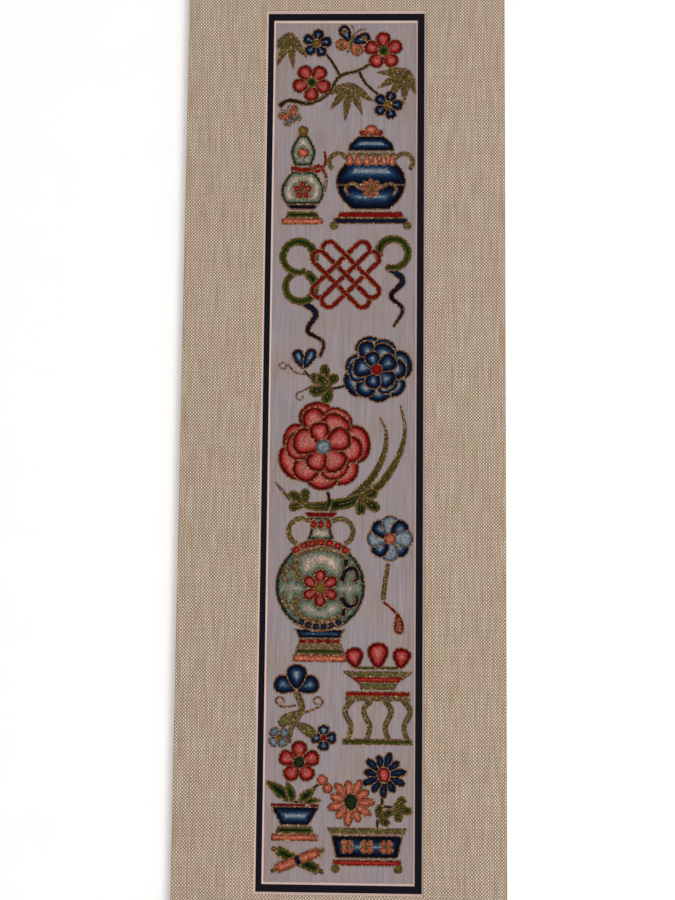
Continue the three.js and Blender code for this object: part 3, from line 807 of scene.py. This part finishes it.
class Tree:
    """A node tree with short ways to add and join nodes."""

    def __init__(self, tree):
        self.tree = tree

    def feed(self, socket, value):
        """Joins a source to a socket, or sets a value on it."""
        if isinstance(value, bpy.types.NodeSocket):
            self.tree.links.new(value, socket)
        elif socket.type == "RGBA":
            socket.default_value = (*value, 1)
        else:
            socket.default_value = value

    def add(self, kind, inputs=(), **settings):
        node = self.tree.nodes.new(kind)
        for key, value in settings.items():
            setattr(node, key, value)
        for key, value in dict(inputs).items():
            self.feed(node.inputs[key], value)
        return node

    def math(self, operation, *values, clamp=False):
        node = self.add("ShaderNodeMath", enumerate(values), operation=operation, use_clamp=clamp)
        return node.outputs[0]

    def mix(self, factor, a, b, blend="MIX"):
        inputs = {0: factor, 6: a, 7: b}
        return self.add("ShaderNodeMix", inputs, data_type="RGBA", blend_type=blend).outputs[2]

    def choose(self, factor, a, b):
        return self.add("ShaderNodeMix", {0: factor, 2: a, 3: b}, data_type="FLOAT").outputs[0]

    def ramp(self, factor, *stops):
        node = self.add("ShaderNodeValToRGB", {0: factor})
        marks = node.color_ramp.elements
        while len(marks) < len(stops):
            marks.new(0.5)
        for mark, (at, colour) in zip(marks, stops):
            mark.position = at
            mark.color = (*colour, 1)
        return node.outputs[0]

    def noise(self, vector, scale, detail=2.0, roughness=0.5):
        inputs = {"Vector": vector, "Scale": scale, "Detail": detail, "Roughness": roughness}
        return self.add("ShaderNodeTexNoise", inputs).outputs["Fac"]

    def stretched(self, vector, *scale):
        return self.add("ShaderNodeVectorMath", {0: vector, 1: scale}, operation="MULTIPLY").outputs[0]

    def stored(self, name):
        return self.add("ShaderNodeAttribute", attribute_name=name).outputs["Fac"]

    def relief(self, height, distance):
        """A bumped normal from a height, which stands for a distance in metres."""
        return self.add("ShaderNodeBump", {"Height": height, "Distance": distance}).outputs[0]


def new_group(name, kind, inputs, outputs):
    """A node group whose sockets are given as (label, kind), with its inputs and outputs."""
    group = bpy.data.node_groups.new(name, kind)
    for way, sockets in (("INPUT", inputs), ("OUTPUT", outputs)):
        for label, socket in sockets:
            group.interface.new_socket(label, in_out=way, socket_type="NodeSocket" + socket)
    t = Tree(group)
    return group, t, t.add("NodeGroupInput").outputs, t.add("NodeGroupOutput").inputs


def scatter_tree():
    """Sets one of a collection's pieces on every point, by the point's own values."""
    sockets = [("Geometry", "Geometry"), ("Pieces", "Collection")]
    group, t, start, end = new_group("set_on_points", "GeometryNodeTree", sockets, sockets[:1])

    def own(name, kind="FLOAT"):
        node = t.add("GeometryNodeInputNamedAttribute", {"Name": name}, data_type=kind)
        return node.outputs["Attribute"]

    pieces = t.add("GeometryNodeCollectionInfo", {"Collection": start["Pieces"], "Separate Children": True,
                                                  "Reset Children": True})
    turn = t.add("ShaderNodeCombineXYZ", {"Z": own("turn")})
    put = t.add("GeometryNodeInstanceOnPoints", {
        "Points": start["Geometry"],
        "Instance": pieces.outputs[0],
        "Pick Instance": True,
        "Instance Index": own("tone", "INT"),
        "Rotation": turn.outputs[0],
        "Scale": own("size"),
    })
    real = t.add("GeometryNodeRealizeInstances", {0: put.outputs[0]})
    t.feed(end[0], real.outputs[0])
    return group


def thread_tree():
    """Turns runs of edges into round threads that know their length and their turn."""
    sockets = [("Geometry", "Geometry"), ("Radius", "Float")]
    group, t, start, end = new_group("lay_threads", "GeometryNodeTree", sockets, sockets[:1])

    def keep(geometry, name, measure):
        value = t.add("GeometryNodeSplineParameter").outputs[measure]
        inputs = {"Geometry": geometry, "Name": name, "Value": value}
        node = t.add("GeometryNodeStoreNamedAttribute", inputs, data_type="FLOAT", domain="POINT")
        return node.outputs["Geometry"]

    run = t.add("GeometryNodeMeshToCurve", {"Mesh": start["Geometry"]})
    circle = t.add("GeometryNodeCurvePrimitiveCircle",
                   {"Resolution": THREAD_SIDES, "Radius": start["Radius"]}, mode="RADIUS")
    sweep = t.add("GeometryNodeCurveToMesh", {
        "Curve": keep(run.outputs[0], "along", "Length"),
        "Profile Curve": keep(circle.outputs[0], "around", "Factor"),
        "Fill Caps": True,
    })
    t.feed(end[0], sweep.outputs[0])
    return group


SCATTER = scatter_tree()
THREADS = thread_tree()


def input_name(group, label):
    sockets = group.interface.items_tree
    return next(s.identifier for s in sockets if s.name == label and s.in_out == "INPUT")


# Materials


def linear(*shades):
    """A display colour, 0 to 255, as linear light."""
    return tuple(s / 255 / 12.92 if s <= 10 else ((s / 255 + 0.055) / 1.055) ** 2.4 for s in shades)


def new_material(name):
    """A material, its tree and its object coordinates."""
    material = bpy.data.materials.new(name)
    material.use_nodes = True
    t = Tree(material.node_tree)
    return material, t, t.add("ShaderNodeTexCoord").outputs["Object"]


def dress(t, looks):
    """Feeds the material's shader."""
    shader = t.tree.nodes["Principled BSDF"]
    for key, value in looks.items():
        t.feed(shader.inputs[key], value)


# Shades of silk from a cell's edge inwards, as (share of the reach, display colour)
TONES = {
    "blue": [(0, (3, 7, 20)), (0.34, (8, 20, 46)), (0.6, (26, 52, 84)), (0.84, (78, 98, 118)),
             (1, (140, 147, 150))],
    "celadon": [(0, (10, 24, 20)), (0.17, (18, 38, 31)), (0.23, (76, 94, 78)),
                (0.5, (126, 130, 112)), (0.8, (176, 157, 141)), (1, (206, 178, 163))],
    "coral": [(0, (84, 2, 2)), (0.45, (134, 18, 12)), (1, (178, 60, 50))],
    "gilt": [(0, (84, 62, 18)), (0.5, (116, 90, 30)), (1, (144, 114, 46))],
    "leaf": [(0, (84, 78, 18)), (0.3, (70, 76, 20)), (0.62, (36, 50, 18)), (1, (9, 22, 11))],
    "navy": [(0, (2, 3, 12)), (0.3, (5, 12, 32)), (0.6, (14, 38, 72)), (0.86, (48, 76, 106)),
             (1, (136, 146, 152))],
    "olive": [(0, (84, 76, 18)), (1, (110, 98, 28))],
    "pine": [(0, (10, 22, 10)), (1, (36, 50, 24))],
    "red": [(0, (96, 3, 2)), (1, (140, 18, 12))],
    "rose": [(0, (76, 0, 2)), (0.27, (98, 3, 4)), (0.33, (144, 28, 28)), (0.58, (166, 60, 56)),
             (1, (184, 106, 95))],
    "salmon": [(0, (126, 44, 28)), (0.35, (172, 82, 60)), (1, (200, 126, 100))],
    "sky": [(0, (44, 64, 80)), (0.4, (90, 106, 118)), (1, (132, 142, 148))],
}
TONE_NAMES = sorted(TONES)

# How far in from the edge, in millimetres, a tone may need to come to its last shade; a small
# cell comes to it sooner, but no sooner than the least
REACH = {"celadon": 8.0, "navy": 7.6, "blue": 4.8, "rose": 4.6, "salmon": 2.4, "coral": 2.0, "leaf": 2.2}
DEFAULT_REACH = 2.0
LEAST_REACH = {"navy": 2.4, "blue": 2.0}
DEFAULT_LEAST = 1.2

# Turns of the metal strip round its core, and the pitches of the weaves' threads in metres
TURNS_PER_METRE = 2600
LINEN_PITCH = (0.00101, 0.00107)
GAUZE_PITCH = (0.00052, 0.00062)


def floss_group():
    """Fine floss: a fibre height and a slow change of brightness over the knots."""
    group, t, start, end = new_group("silk_floss", "ShaderNodeTree", [("Vector", "Vector")],
                                     [("Height", "Float"), ("Brightness", "Float")])
    t.feed(end["Height"], t.noise(t.stretched(start[0], 1, 0.45, 1), 9000))
    slow = t.noise(start[0], 130, 3)
    t.feed(end["Brightness"], t.math("ADD", t.math("MULTIPLY", slow, 0.5), 0.75))
    return group


FLOSS = floss_group()


def floss(t, vector):
    node = t.add("ShaderNodeGroup", node_tree=FLOSS)
    t.feed(node.inputs[0], vector)
    return node.outputs


def silk_material(tone):
    material, t, vector = new_material("silk_" + tone)
    height, brightness = floss(t, vector)
    colour = t.ramp(t.stored("shade"), *((at, linear(*c)) for at, c in TONES[tone]))
    # Painted shade: the stored light share darkens each knot's foot and dimple.
    knot_painted_shade = t.math("ADD", t.math("MULTIPLY", t.stored("lit"), 0.7), 0.5)
    light = t.math("MULTIPLY", t.math("MULTIPLY", brightness, t.stored("tint")), knot_painted_shade)
    scaled = t.add("ShaderNodeVectorMath", {0: colour, "Scale": light}, operation="SCALE")
    dress(t, {
        "Base Color": scaled.outputs[0],
        "Roughness": 0.4,
        "Specular IOR Level": 0.06,
        "Normal": t.relief(height, 0.00006),
    })
    return material


def thread_material(name, wear_and_groove_shade_colour, main_colour, painted_glint_colour, metal):
    """A strip wound on a core: fine turns along the thread with painted shade in the grooves between them,
    worn in places and with painted glints in others.
    """
    material, t, vector = new_material(name)
    turns = t.math("ADD", t.math("MULTIPLY", t.stored("along"), TURNS_PER_METRE), t.stored("around"))
    wound = t.math("ABSOLUTE", t.math("SUBTRACT", t.math("FRACT", turns), 0.5))
    # One noise gives worn patches at its low end and painted glints at its high end.
    wear_and_glint = t.noise(vector, 950, 3, 0.6)
    glint = t.noise(vector, 1700)
    colour = t.ramp(wear_and_glint, (0.36, linear(*wear_and_groove_shade_colour)), (0.54, linear(*main_colour)),
                    (0.68, linear(*painted_glint_colour)))
    # Painted shade in the grooves between the turns of the strip.
    dark = t.math("MULTIPLY", wound, 0.8, clamp=True)
    dress(t, {
        "Base Color": t.mix(dark, colour, linear(*wear_and_groove_shade_colour)),
        "Roughness": t.math("ADD", t.math("MULTIPLY", glint, 0.5), 0.1),
        "Metallic": metal,
        "Normal": t.relief(wound, 0.00012),
    })
    return material


def couching_material():
    material, t, vector = new_material("couching_silk")
    height, brightness = floss(t, vector)
    colour = t.mix(brightness, linear(58, 26, 12), linear(120, 62, 34))
    dress(t, {"Base Color": colour, "Roughness": 0.6, "Normal": t.relief(height, 0.00005)})
    return material


def weave_group():
    """A plain weave: threads over and under each other at a pitch, with uneven yarn."""
    group, t, start, end = new_group("plain_weave", "ShaderNodeTree",
                                     [("Across", "Float"), ("Along", "Float"), ("Vector", "Vector")],
                                     [("Height", "Float"), ("Over", "Float"), ("Yarn", "Float")])
    vector = start["Vector"]
    sway = t.math("MULTIPLY", t.math("SUBTRACT", t.noise(vector, 90), 0.5), 0.9)
    parts = t.add("ShaderNodeSeparateXYZ", {0: vector}).outputs
    u = t.math("ADD", t.math("MULTIPLY", parts["X"], start["Across"]), sway)
    v = t.math("ADD", t.math("MULTIPLY", parts["Y"], start["Along"]), sway)
    checker = t.math("MODULO", t.math("ADD", t.math("FLOOR", u), t.math("FLOOR", v)), 2.0)
    over = t.math("ABSOLUTE", checker)
    round_u, round_v = (t.math("SINE", t.math("MULTIPLY", t.math("FRACT", w), math.pi)) for w in (u, v))
    warp = t.math("MULTIPLY", t.math("POWER", round_u, 1.2), t.math("POWER", round_v, 0.45))
    weft = t.math("MULTIPLY", t.math("POWER", round_v, 1.2), t.math("POWER", round_u, 0.45))
    t.feed(end["Height"], t.choose(over, weft, warp))
    t.feed(end["Over"], over)
    upright = t.noise(t.stretched(vector, 1, 0.03, 1), 1300)
    level = t.noise(t.stretched(vector, 0.03, 1, 1), 1300)
    t.feed(end["Yarn"], t.choose(over, level, upright))
    return group


WEAVE = weave_group()


def weave(t, vector, pitch):
    node = t.add("ShaderNodeGroup", node_tree=WEAVE)
    for socket, value in zip(node.inputs, (1 / pitch[0], 1 / pitch[1], vector)):
        t.feed(socket, value)
    return node.outputs


def linen_material():
    """Plain-woven linen: a pale, slubby warp over a darker weft."""
    material, t, vector = new_material("woven_linen")
    height, over, yarn = weave(t, vector, LINEN_PITCH)
    warp = t.ramp(yarn, (0.3, linear(212, 189, 168)), (0.5, linear(238, 220, 203)),
                  (0.7, linear(254, 245, 235)))
    weft = t.ramp(yarn, (0.3, linear(143, 119, 94)), (0.7, linear(178, 152, 126)))
    slub = t.noise(t.stretched(vector, 1, 0.16, 1), 420, 3, 0.6)
    thick = t.math("MULTIPLY", t.math("SUBTRACT", slub, 0.5), 0.9)
    thread = t.mix(t.math("ADD", over, thick, clamp=True), weft, warp)
    # Painted shade: the weave's hollows, where the threads dip, are darkened toward a brown.
    painted_hollow_shade = t.math("SUBTRACT", 1.0, t.math("MULTIPLY", height, 1.3), clamp=True)
    shaded = t.mix(t.math("MULTIPLY", painted_hollow_shade, 0.8), thread, linear(112, 90, 68))
    upright = t.noise(t.stretched(vector, 1, 0.08, 1), 6500)
    level = t.noise(t.stretched(vector, 0.08, 1, 1), 6500)
    fibres = t.ramp(t.choose(over, level, upright), (0.3, (0.84, 0.83, 0.81)), (0.6, (1, 1, 1)))
    tinged = t.ramp(t.noise(vector, 60), (0.35, (0.98, 1, 0.96)), (0.65, (1, 0.97, 0.97)))
    colour = t.mix(1.0, t.mix(1.0, shaded, fibres, "MULTIPLY"), tinged, "MULTIPLY")
    dress(t, {
        "Base Color": colour,
        "Roughness": 0.85,
        "Specular IOR Level": 0.2,
        "Normal": t.relief(height, 0.0003),
    })
    return material


def gauze_material():
    """Fine silk gauze: close upright threads, faint darker streaks and slow yellowed patches."""
    material, t, vector = new_material("silk_gauze")
    height, _, yarn = weave(t, vector, GAUZE_PITCH)
    fine = t.noise(t.stretched(vector, 1, 0.04, 1), 1100, 3, 0.6)
    streak = t.noise(t.stretched(vector, 1, 0.1, 1), 240, 4, 0.6)
    base = t.ramp(fine, (0.3, linear(133, 121, 122)), (0.5, linear(144, 132, 134)),
                  (0.7, linear(155, 144, 146)))
    dark = t.math("MULTIPLY", t.math("SUBTRACT", streak, 0.55, clamp=True), 1.2, clamp=True)
    aged = t.mix(dark, base, linear(104, 88, 82))
    patches = t.ramp(t.noise(vector, 30, 3), (0.36, (1, 0.93, 0.85)), (0.5, (1, 0.99, 0.99)),
                     (0.62, (0.97, 0.98, 1.02)))
    patchy = t.mix(1.0, aged, patches, "MULTIPLY")
    ribbed = t.math("ADD", t.math("MULTIPLY", fine, 0.6), height)
    dress(t, {
        "Base Color": t.mix(t.math("MULTIPLY", yarn, 0.2), patchy, linear(118, 104, 102)),
        "Roughness": t.math("ADD", t.math("MULTIPLY", fine, 0.2), 0.5),
        "Specular IOR Level": 0.3,
        "Normal": t.relief(ribbed, 0.0001),
    })
    return material


def board_material(name, colour, dark, roughness, shine=0.3):
    """Mat board or facing paper: soft fibres and a little unevenness."""
    material, t, vector = new_material(name)
    fibre = t.noise(t.stretched(vector, 1, 1, 2.5), 2200, 4, 0.6)
    slow = t.noise(vector, 40, 3)
    tone = t.math("ADD", t.math("MULTIPLY", fibre, 0.6), t.math("MULTIPLY", slow, 0.4))
    dress(t, {
        "Base Color": t.ramp(tone, (0.3, linear(*dark)), (0.65, linear(*colour))),
        "Roughness": roughness,
        "Specular IOR Level": shine,
        "Normal": t.relief(fibre, 0.00006),
    })
    return material


SILKS = {tone: silk_material(tone) for tone in TONE_NAMES}
# Each strip's last colour is a painted glint; its first is wear and also the painted shade between turns.
GOLD_LOOK = thread_material("gilt_strip", (66, 33, 16), (130, 79, 38), (244, 210, 152), 0.6)
GREEN_LOOK = thread_material("green_gold_strip", (48, 44, 10), (100, 90, 25), (184, 166, 84), 0.4)
COUCHING = couching_material()
LINEN = linen_material()
GAUZE = gauze_material()
CREAM = board_material("cream_board", (226, 200, 190), (204, 176, 166), 0.8)
NAVY_PAPER = board_material("navy_paper", (15, 13, 23), (9, 8, 14), 0.8, 0.1)
BACKING = board_material("grey_backing", (206, 196, 182), (184, 172, 158), 0.85)


# Pieces that are set many times: a dimpled knot of each silk, and one couching stitch. The knot's
# profile is given as (share of the pitch across, share of the height, how much light it takes), the
# last being painted light that gives the knot's foot and dimple painted shade.

KNOT_PROFILE = ((1.14, -0.08, 0), (0.46, 0.58, 0.4), (0.27, 1, 1), (0, 0.75, 0.6))
KNOT_SIDES = 5


def knot_piece(tone):
    """A wound knot: a spread foot, a round shoulder and a dimple where the needle went down."""
    bm = bmesh.new()
    # How much painted light each ring of the knot gets.
    lit = bm.verts.layers.float.new("lit")
    verts = []
    for across, up, light in KNOT_PROFILE:
        verts.append(bm.verts.new((across * PITCH * MM, 0, up * KNOT_HEIGHT * MM)))
        verts[-1][lit] = light
    edges = [bm.edges.new(pair) for pair in zip(verts, verts[1:])]
    bmesh.ops.spin(bm, geom=verts + edges, axis=(0, 0, 1), cent=(0, 0, 0), angle=2 * math.pi,
                   steps=KNOT_SIDES, use_merge=True)
    bmesh.ops.remove_doubles(bm, verts=bm.verts, dist=1e-6)
    bmesh.ops.recalc_face_normals(bm, faces=bm.faces)
    if sum(f.normal.z for f in bm.faces) < 0:
        bmesh.ops.reverse_faces(bm, faces=bm.faces)
    return smooth(mesh_object("knot_" + tone, bm, SILKS[tone]))


def couching_piece():
    """A short stitch over the pair of gold threads, from one side down to the other."""
    bm = bmesh.new()
    lying = Matrix.Translation((0, 1.15 * GOLD * MM, 0)) @ Matrix.Rotation(math.pi / 2, 4, "Y")
    bmesh.ops.create_circle(bm, cap_ends=False, segments=3, radius=STITCH_RADIUS * MM, matrix=lying)
    bmesh.ops.spin(bm, geom=bm.verts[:] + bm.edges[:], axis=(1, 0, 0), cent=(0, 0, 0), angle=math.pi,
                   steps=4)
    bmesh.ops.recalc_face_normals(bm, faces=bm.faces)
    return smooth(mesh_object("stitch_over", bm, COUCHING))


def collection_of(name, objects):
    kept = bpy.data.collections.new(name)
    bpy.context.scene.collection.children.link(kept)
    for o in objects:
        kept.objects.link(o)
        bpy.context.scene.collection.objects.unlink(o)
    return kept


KNOTS = collection_of("knot_pieces", [knot_piece(tone) for tone in TONE_NAMES])
STITCHES = collection_of("stitch_pieces", [couching_piece()])


def cloth_height(x, y):
    """The gentle rise and fall of the silk, in millimetres."""
    wave = math.sin(x / 17 + 1.3) * math.sin(y / 43 + 0.4) + 0.6 * math.sin(x / 9 + y / 31)
    return CLOTH_TOP + 0.06 * wave


def worked_by(made, group, label, value):
    """The object as a geometry node group makes it, with one of the group's inputs given."""
    modifier = made.modifiers.new(group.name, "NODES")
    modifier.node_group = group
    modifier[input_name(group, label)] = value
    return settled(made)


def scattered(name, rows, pieces):
    """One mesh of pieces set on points; a row is (x, y, z, turn, size, tone, shade, tint)."""
    bm = bmesh.new()
    layers = [bm.verts.layers.float.new(key) for key in ("turn", "size", "shade", "tint")]
    layers.insert(2, bm.verts.layers.int.new("tone"))
    for row in rows:
        v = bm.verts.new([c * MM for c in row[:3]])
        for layer, value in zip(layers, row[3:]):
            v[layer] = value
    made = worked_by(mesh_object(name, bm), SCATTER, "Pieces", pieces)
    for key in ("turn", "size", "tone"):
        if key in made.data.attributes:
            made.data.attributes.remove(made.data.attributes[key])
    return made


def laid_threads(name, runs, material):
    """One mesh of round threads along runs of (points with heights, closed)."""
    bm = bmesh.new()
    for run, closed in runs:
        verts = [bm.verts.new(Vector(p) * MM) for p in run]
        for pair in zip(verts, verts[1:] + verts[:1] if closed else verts[1:]):
            bm.edges.new(pair)
    made = worked_by(mesh_object(name, bm), THREADS, "Radius", GOLD / 2 * MM)
    made.data.materials.append(material)
    return smooth(made)


def joined(name, objects):
    """Several meshes as one object, keeping their materials and attributes."""
    first = objects[0]
    with bpy.context.temp_override(active_object=first, selected_editable_objects=objects):
        bpy.ops.object.join()
    first.name = name
    first.data.name = name
    return first


# Work every cell

knots_of = defaultdict(list)
gold_of = defaultdict(list)
green_of = defaultdict(list)
couching_of = defaultdict(list)


def lifted(run, lift):
    return [(x, y, cloth_height(x, y) + lift) for x, y in run]


def lay_gold(cell, fronts, lift):
    """Lays the threads of a cell, first gold and then olive, and returns where they lie."""
    count = MOST_THREADS if cell.fill == "threads" else gold_count(cell)
    laid = Spots(PITCH)
    for k in range(count):
        found = runs_at(cell, fronts, GOLD * (k + 0.5), SHORTEST[cell.fill])
        if not found and k:
            break
        for run, closed in found:
            for point in run:
                laid.add(point, 0)
            height = lift + GOLD * 0.5 + random.uniform(0, 0.04)
            runs = gold_of[cell.node] if k < 2 else green_of[cell.node]
            runs.append((lifted(thinned(run, closed), height), closed))
            if k % 2 == 0 and count > 1:
                couch(cell, run, lift)
    return laid


def work_cell(index):
    cell = cells[index]
    fronts = fronts_of(index)
    lift = cell.level * STEP
    laid = lay_gold(cell, fronts, lift)
    rows = knots_of[cell.node]
    tone = TONE_NAMES.index(cell.tone)
    if cell.fill == "threads":
        for x, y in room_left(cell, fronts, laid):
            rows.append((x, y, cloth_height(x, y) + lift, 0, 0.7, tone, 0.6, 1))
        return
    places, depths, gaps = knot_rows(cell, fronts)
    if cell.tone == "celadon":
        depths = np.minimum(depths, FRONT_SHADE + FRONT_SHADE_RISE * gaps)
    reach = max(LEAST_REACH.get(cell.tone, DEFAULT_LEAST), float(depths.max(initial=0)))
    reach = min(REACH.get(cell.tone, DEFAULT_REACH), reach)
    for (x, y), inside in zip(places, depths):
        shade = min(1.0, max(0.0, inside / reach + random.gauss(0, 0.03)))
        size = random.uniform(0.92, 1.06)
        turn = random.uniform(0, math.pi)
        tint = random.uniform(0.62, 1.36)
        rows.append((x, y, cloth_height(x, y) + lift, turn, size, tone, shade, tint))


def couch(cell, run, lift):
    """Couching stitches along a pair of threads whose outer thread is this run."""
    every = round(STITCH_EVERY / SAMPLE)
    for i in range(every // 2, len(run) - 1, every):
        ahead = run[i + 1] - run[i]
        span = np.linalg.norm(ahead)
        if span < 1e-6:
            continue
        x, y = run[i] + np.array([-ahead[1], ahead[0]]) / span * GOLD * 0.5
        turn = math.atan2(ahead[1], ahead[0])
        couching_of[cell.node].append((x, y, cloth_height(x, y) + lift + 0.02, turn, 1, 0, 0.5, 1))


for index in range(len(cells)):
    work_cell(index)

for node, path in veins:
    spots = spline(path, 3 * (len(path) - 1))[0]
    gold_of[node].append((lifted(spots, KNOT_HEIGHT + VEIN_LIFT), False))


# The stitched pieces

SLOT_OF_NODE = {s["node"]: s["material_slot"] for s in frame["record"]["subparts"]}


def stitched(node):
    """The knots, olive threads and gold threads of one node, made in place of its solid, which is hidden.
    """
    made = []
    if knots_of[node]:
        made.append((scattered(node + "_knots", knots_of[node], KNOTS), SLOT_OF_NODE[node]))
    if green_of[node]:
        made.append((laid_threads(node + "_green", green_of[node], GREEN_LOOK), "olive_silk"))
    gold = laid_threads(node + "_gold", gold_of[node], GOLD_LOOK)
    if couching_of[node]:
        over = scattered(node + "_over", couching_of[node], STITCHES)
        gold = joined(node + "_gold", [gold, over])
    made.append((gold, "gold_thread"))
    for piece, slot in made:
        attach(piece, "root")
    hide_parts(node)


for node in dict.fromkeys(cell.node for cell in cells):
    stitched(node)

for kept in (KNOTS, STITCHES):
    for o in list(kept.objects):
        bpy.data.objects.remove(o)
    bpy.data.collections.remove(kept)


# The silk ground


def attached(made, node):
    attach(made, "root")
    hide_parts(node)
    return made


def band_cloth():
    width, length = (BAND_HIGH - BAND_LOW)[:2]
    bm = bmesh.new()
    bmesh.ops.create_grid(bm, x_segments=CLOTH_GRID[0], y_segments=CLOTH_GRID[1], size=0.5 * MM)
    bmesh.ops.scale(bm, verts=bm.verts, vec=(width, length, 1))
    for v in bm.verts:
        v.co.z = cloth_height(v.co.x / MM, v.co.y / MM) * MM
    made = mesh_object("band_silk", bm, GAUZE)
    thick = made.modifiers.new("thick", "SOLIDIFY")
    thick.thickness = CLOTH_THICK * MM
    thick.offset = -1
    attached(smooth(settled(made)), "band_ground")


def window_frame(name, low, high, window, shift, slope, material, soft=SOFT_EDGE):
    """A flat frame round a window whose cut edge leans back as it rises."""
    half_x, half_y = LINEN_HIGH[:2] * MM
    bm = bmesh.new()
    bmesh.ops.create_grid(bm, x_segments=3, y_segments=3, size=1.5 * MM)
    for v in bm.verts:
        i, j = round(v.co.x / MM + 1.5), round(v.co.y / MM + 1.5)
        v.co.x = (-half_x, (shift - window[0] / 2) * MM, (shift + window[0] / 2) * MM, half_x)[i]
        v.co.y = (-half_y, -window[1] / 2 * MM, window[1] / 2 * MM, half_y)[j]
        v.co.z = low * MM
    middle = min(bm.faces, key=lambda f: f.calc_center_median().xy.length)
    bmesh.ops.delete(bm, geom=[middle], context="FACES")
    whole = bm.faces[:] + bm.edges[:]
    raised = bmesh.ops.extrude_face_region(bm, geom=whole, use_keep_orig=True)["geom"]
    lean = (high - low) * slope * MM
    for v in (g for g in raised if isinstance(g, bmesh.types.BMVert)):
        v.co.z = high * MM
        if abs(v.co.x) < 0.9 * half_x:
            v.co.x += math.copysign(lean, v.co.x)
        if abs(v.co.y) < 0.9 * half_y:
            v.co.y += math.copysign(lean, v.co.y)
    bmesh.ops.recalc_face_normals(bm, faces=bm.faces)
    made = mesh_object(name, bm, material)
    edge = made.modifiers.new("soft_edge", "BEVEL")
    edge.width = soft * MM
    edge.segments = 2
    edge.limit_method = "ANGLE"
    edge.angle_limit = math.radians(30)
    return settled(made)


def leant(window, rise, slope):
    """The size of a leaning window at a height above its lower edge."""
    return tuple(w + 2 * rise * slope for w in window)


def inner_mat():
    low, middle, high = BOARD_LOW, PAPER_LOW[2], PAPER_HIGH[2]
    above = leant(INNER_WINDOW, middle - low, INNER_SLOPE)
    core = window_frame("inner_board", low, middle, INNER_WINDOW, WINDOW_SHIFT, INNER_SLOPE, CREAM)
    attached(core, "inner_mat")
    paper = window_frame("inner_paper", middle, high, above, WINDOW_SHIFT, INNER_SLOPE, NAVY_PAPER,
                         PAPER_SOFT_EDGE)
    attached(paper, "inner_mat_facing")


def outer_mat():
    low, middle, high = PAPER_HIGH[2], LINEN_LOW[2], LINEN_HIGH[2]
    above = leant(OUTER_WINDOW, middle - low, OUTER_SLOPE)
    core = window_frame("outer_board", low, middle, OUTER_WINDOW, 0.0, OUTER_SLOPE, CREAM)
    attached(core, "outer_mat")
    cover = window_frame("linen_cover", middle, high, above, 0.0, OUTER_SLOPE, LINEN)
    attached(cover, "linen_facing")


band_cloth()
inner_mat()
outer_mat()
backing = bpy.data.objects["backing_board"]
for slot in backing.material_slots:
    slot.material = BACKING


# Floor, light and camera


def floor():
    bm = bmesh.new()
    bmesh.ops.create_grid(bm, x_segments=1, y_segments=1, size=4)
    material, t, vector = new_material("pale_floor")
    grain = t.noise(vector, 30, 3)
    pale = t.mix(grain, linear(246, 246, 246), linear(250, 250, 250))
    dress(t, {"Base Color": pale, "Roughness": 0.9})
    mesh_object("floor", bm, material)


def soft_light(place_at, size, power, colour):
    """A round soft light aimed at the middle of the band."""
    data = bpy.data.lights.new("key", "AREA")
    data.shape = "DISK"
    data.size = size
    data.energy = power
    data.color = colour
    made = bpy.data.objects.new("key", data)
    made.location = place_at
    made.rotation_euler = (-Vector(place_at)).to_track_quat("-Z", "Y").to_euler()
    bpy.context.scene.collection.objects.link(made)


floor()
soft_light((1.0, -0.1, 1.95), 1.2, 23, (1.0, 0.98, 0.95))
world = bpy.data.worlds.new("studio")
world.use_nodes = True
sky = world.node_tree.nodes["Background"].inputs
sky["Color"].default_value = (1, 1, 1, 1)
sky["Strength"].default_value = 0.72
scene = bpy.context.scene
scene.world = world
scene.view_settings.view_transform = "Standard"

# The camera that matches the photo, whose picture is 675 by 900: its place in millimetres, its
# turns in degrees and its focal length in pixels
CAMERA_PLACE = (20.38, -98.81, 869.17)
CAMERA_TURNS = (6.07, 1.497, 0.557)
FOCAL_PIXELS = 1392.5
PICTURE_HEIGHT = 900

camera_data = bpy.data.cameras.new("camera")
camera_data.sensor_fit = "VERTICAL"
camera_data.sensor_height = 24
camera_data.lens = FOCAL_PIXELS / PICTURE_HEIGHT * camera_data.sensor_height
camera_data.clip_start = 0.05
camera = bpy.data.objects.new("camera", camera_data)
camera.location = Vector(CAMERA_PLACE) * MM
camera.rotation_euler = [math.radians(a) for a in CAMERA_TURNS]
scene.collection.objects.link(camera)
scene.camera = camera
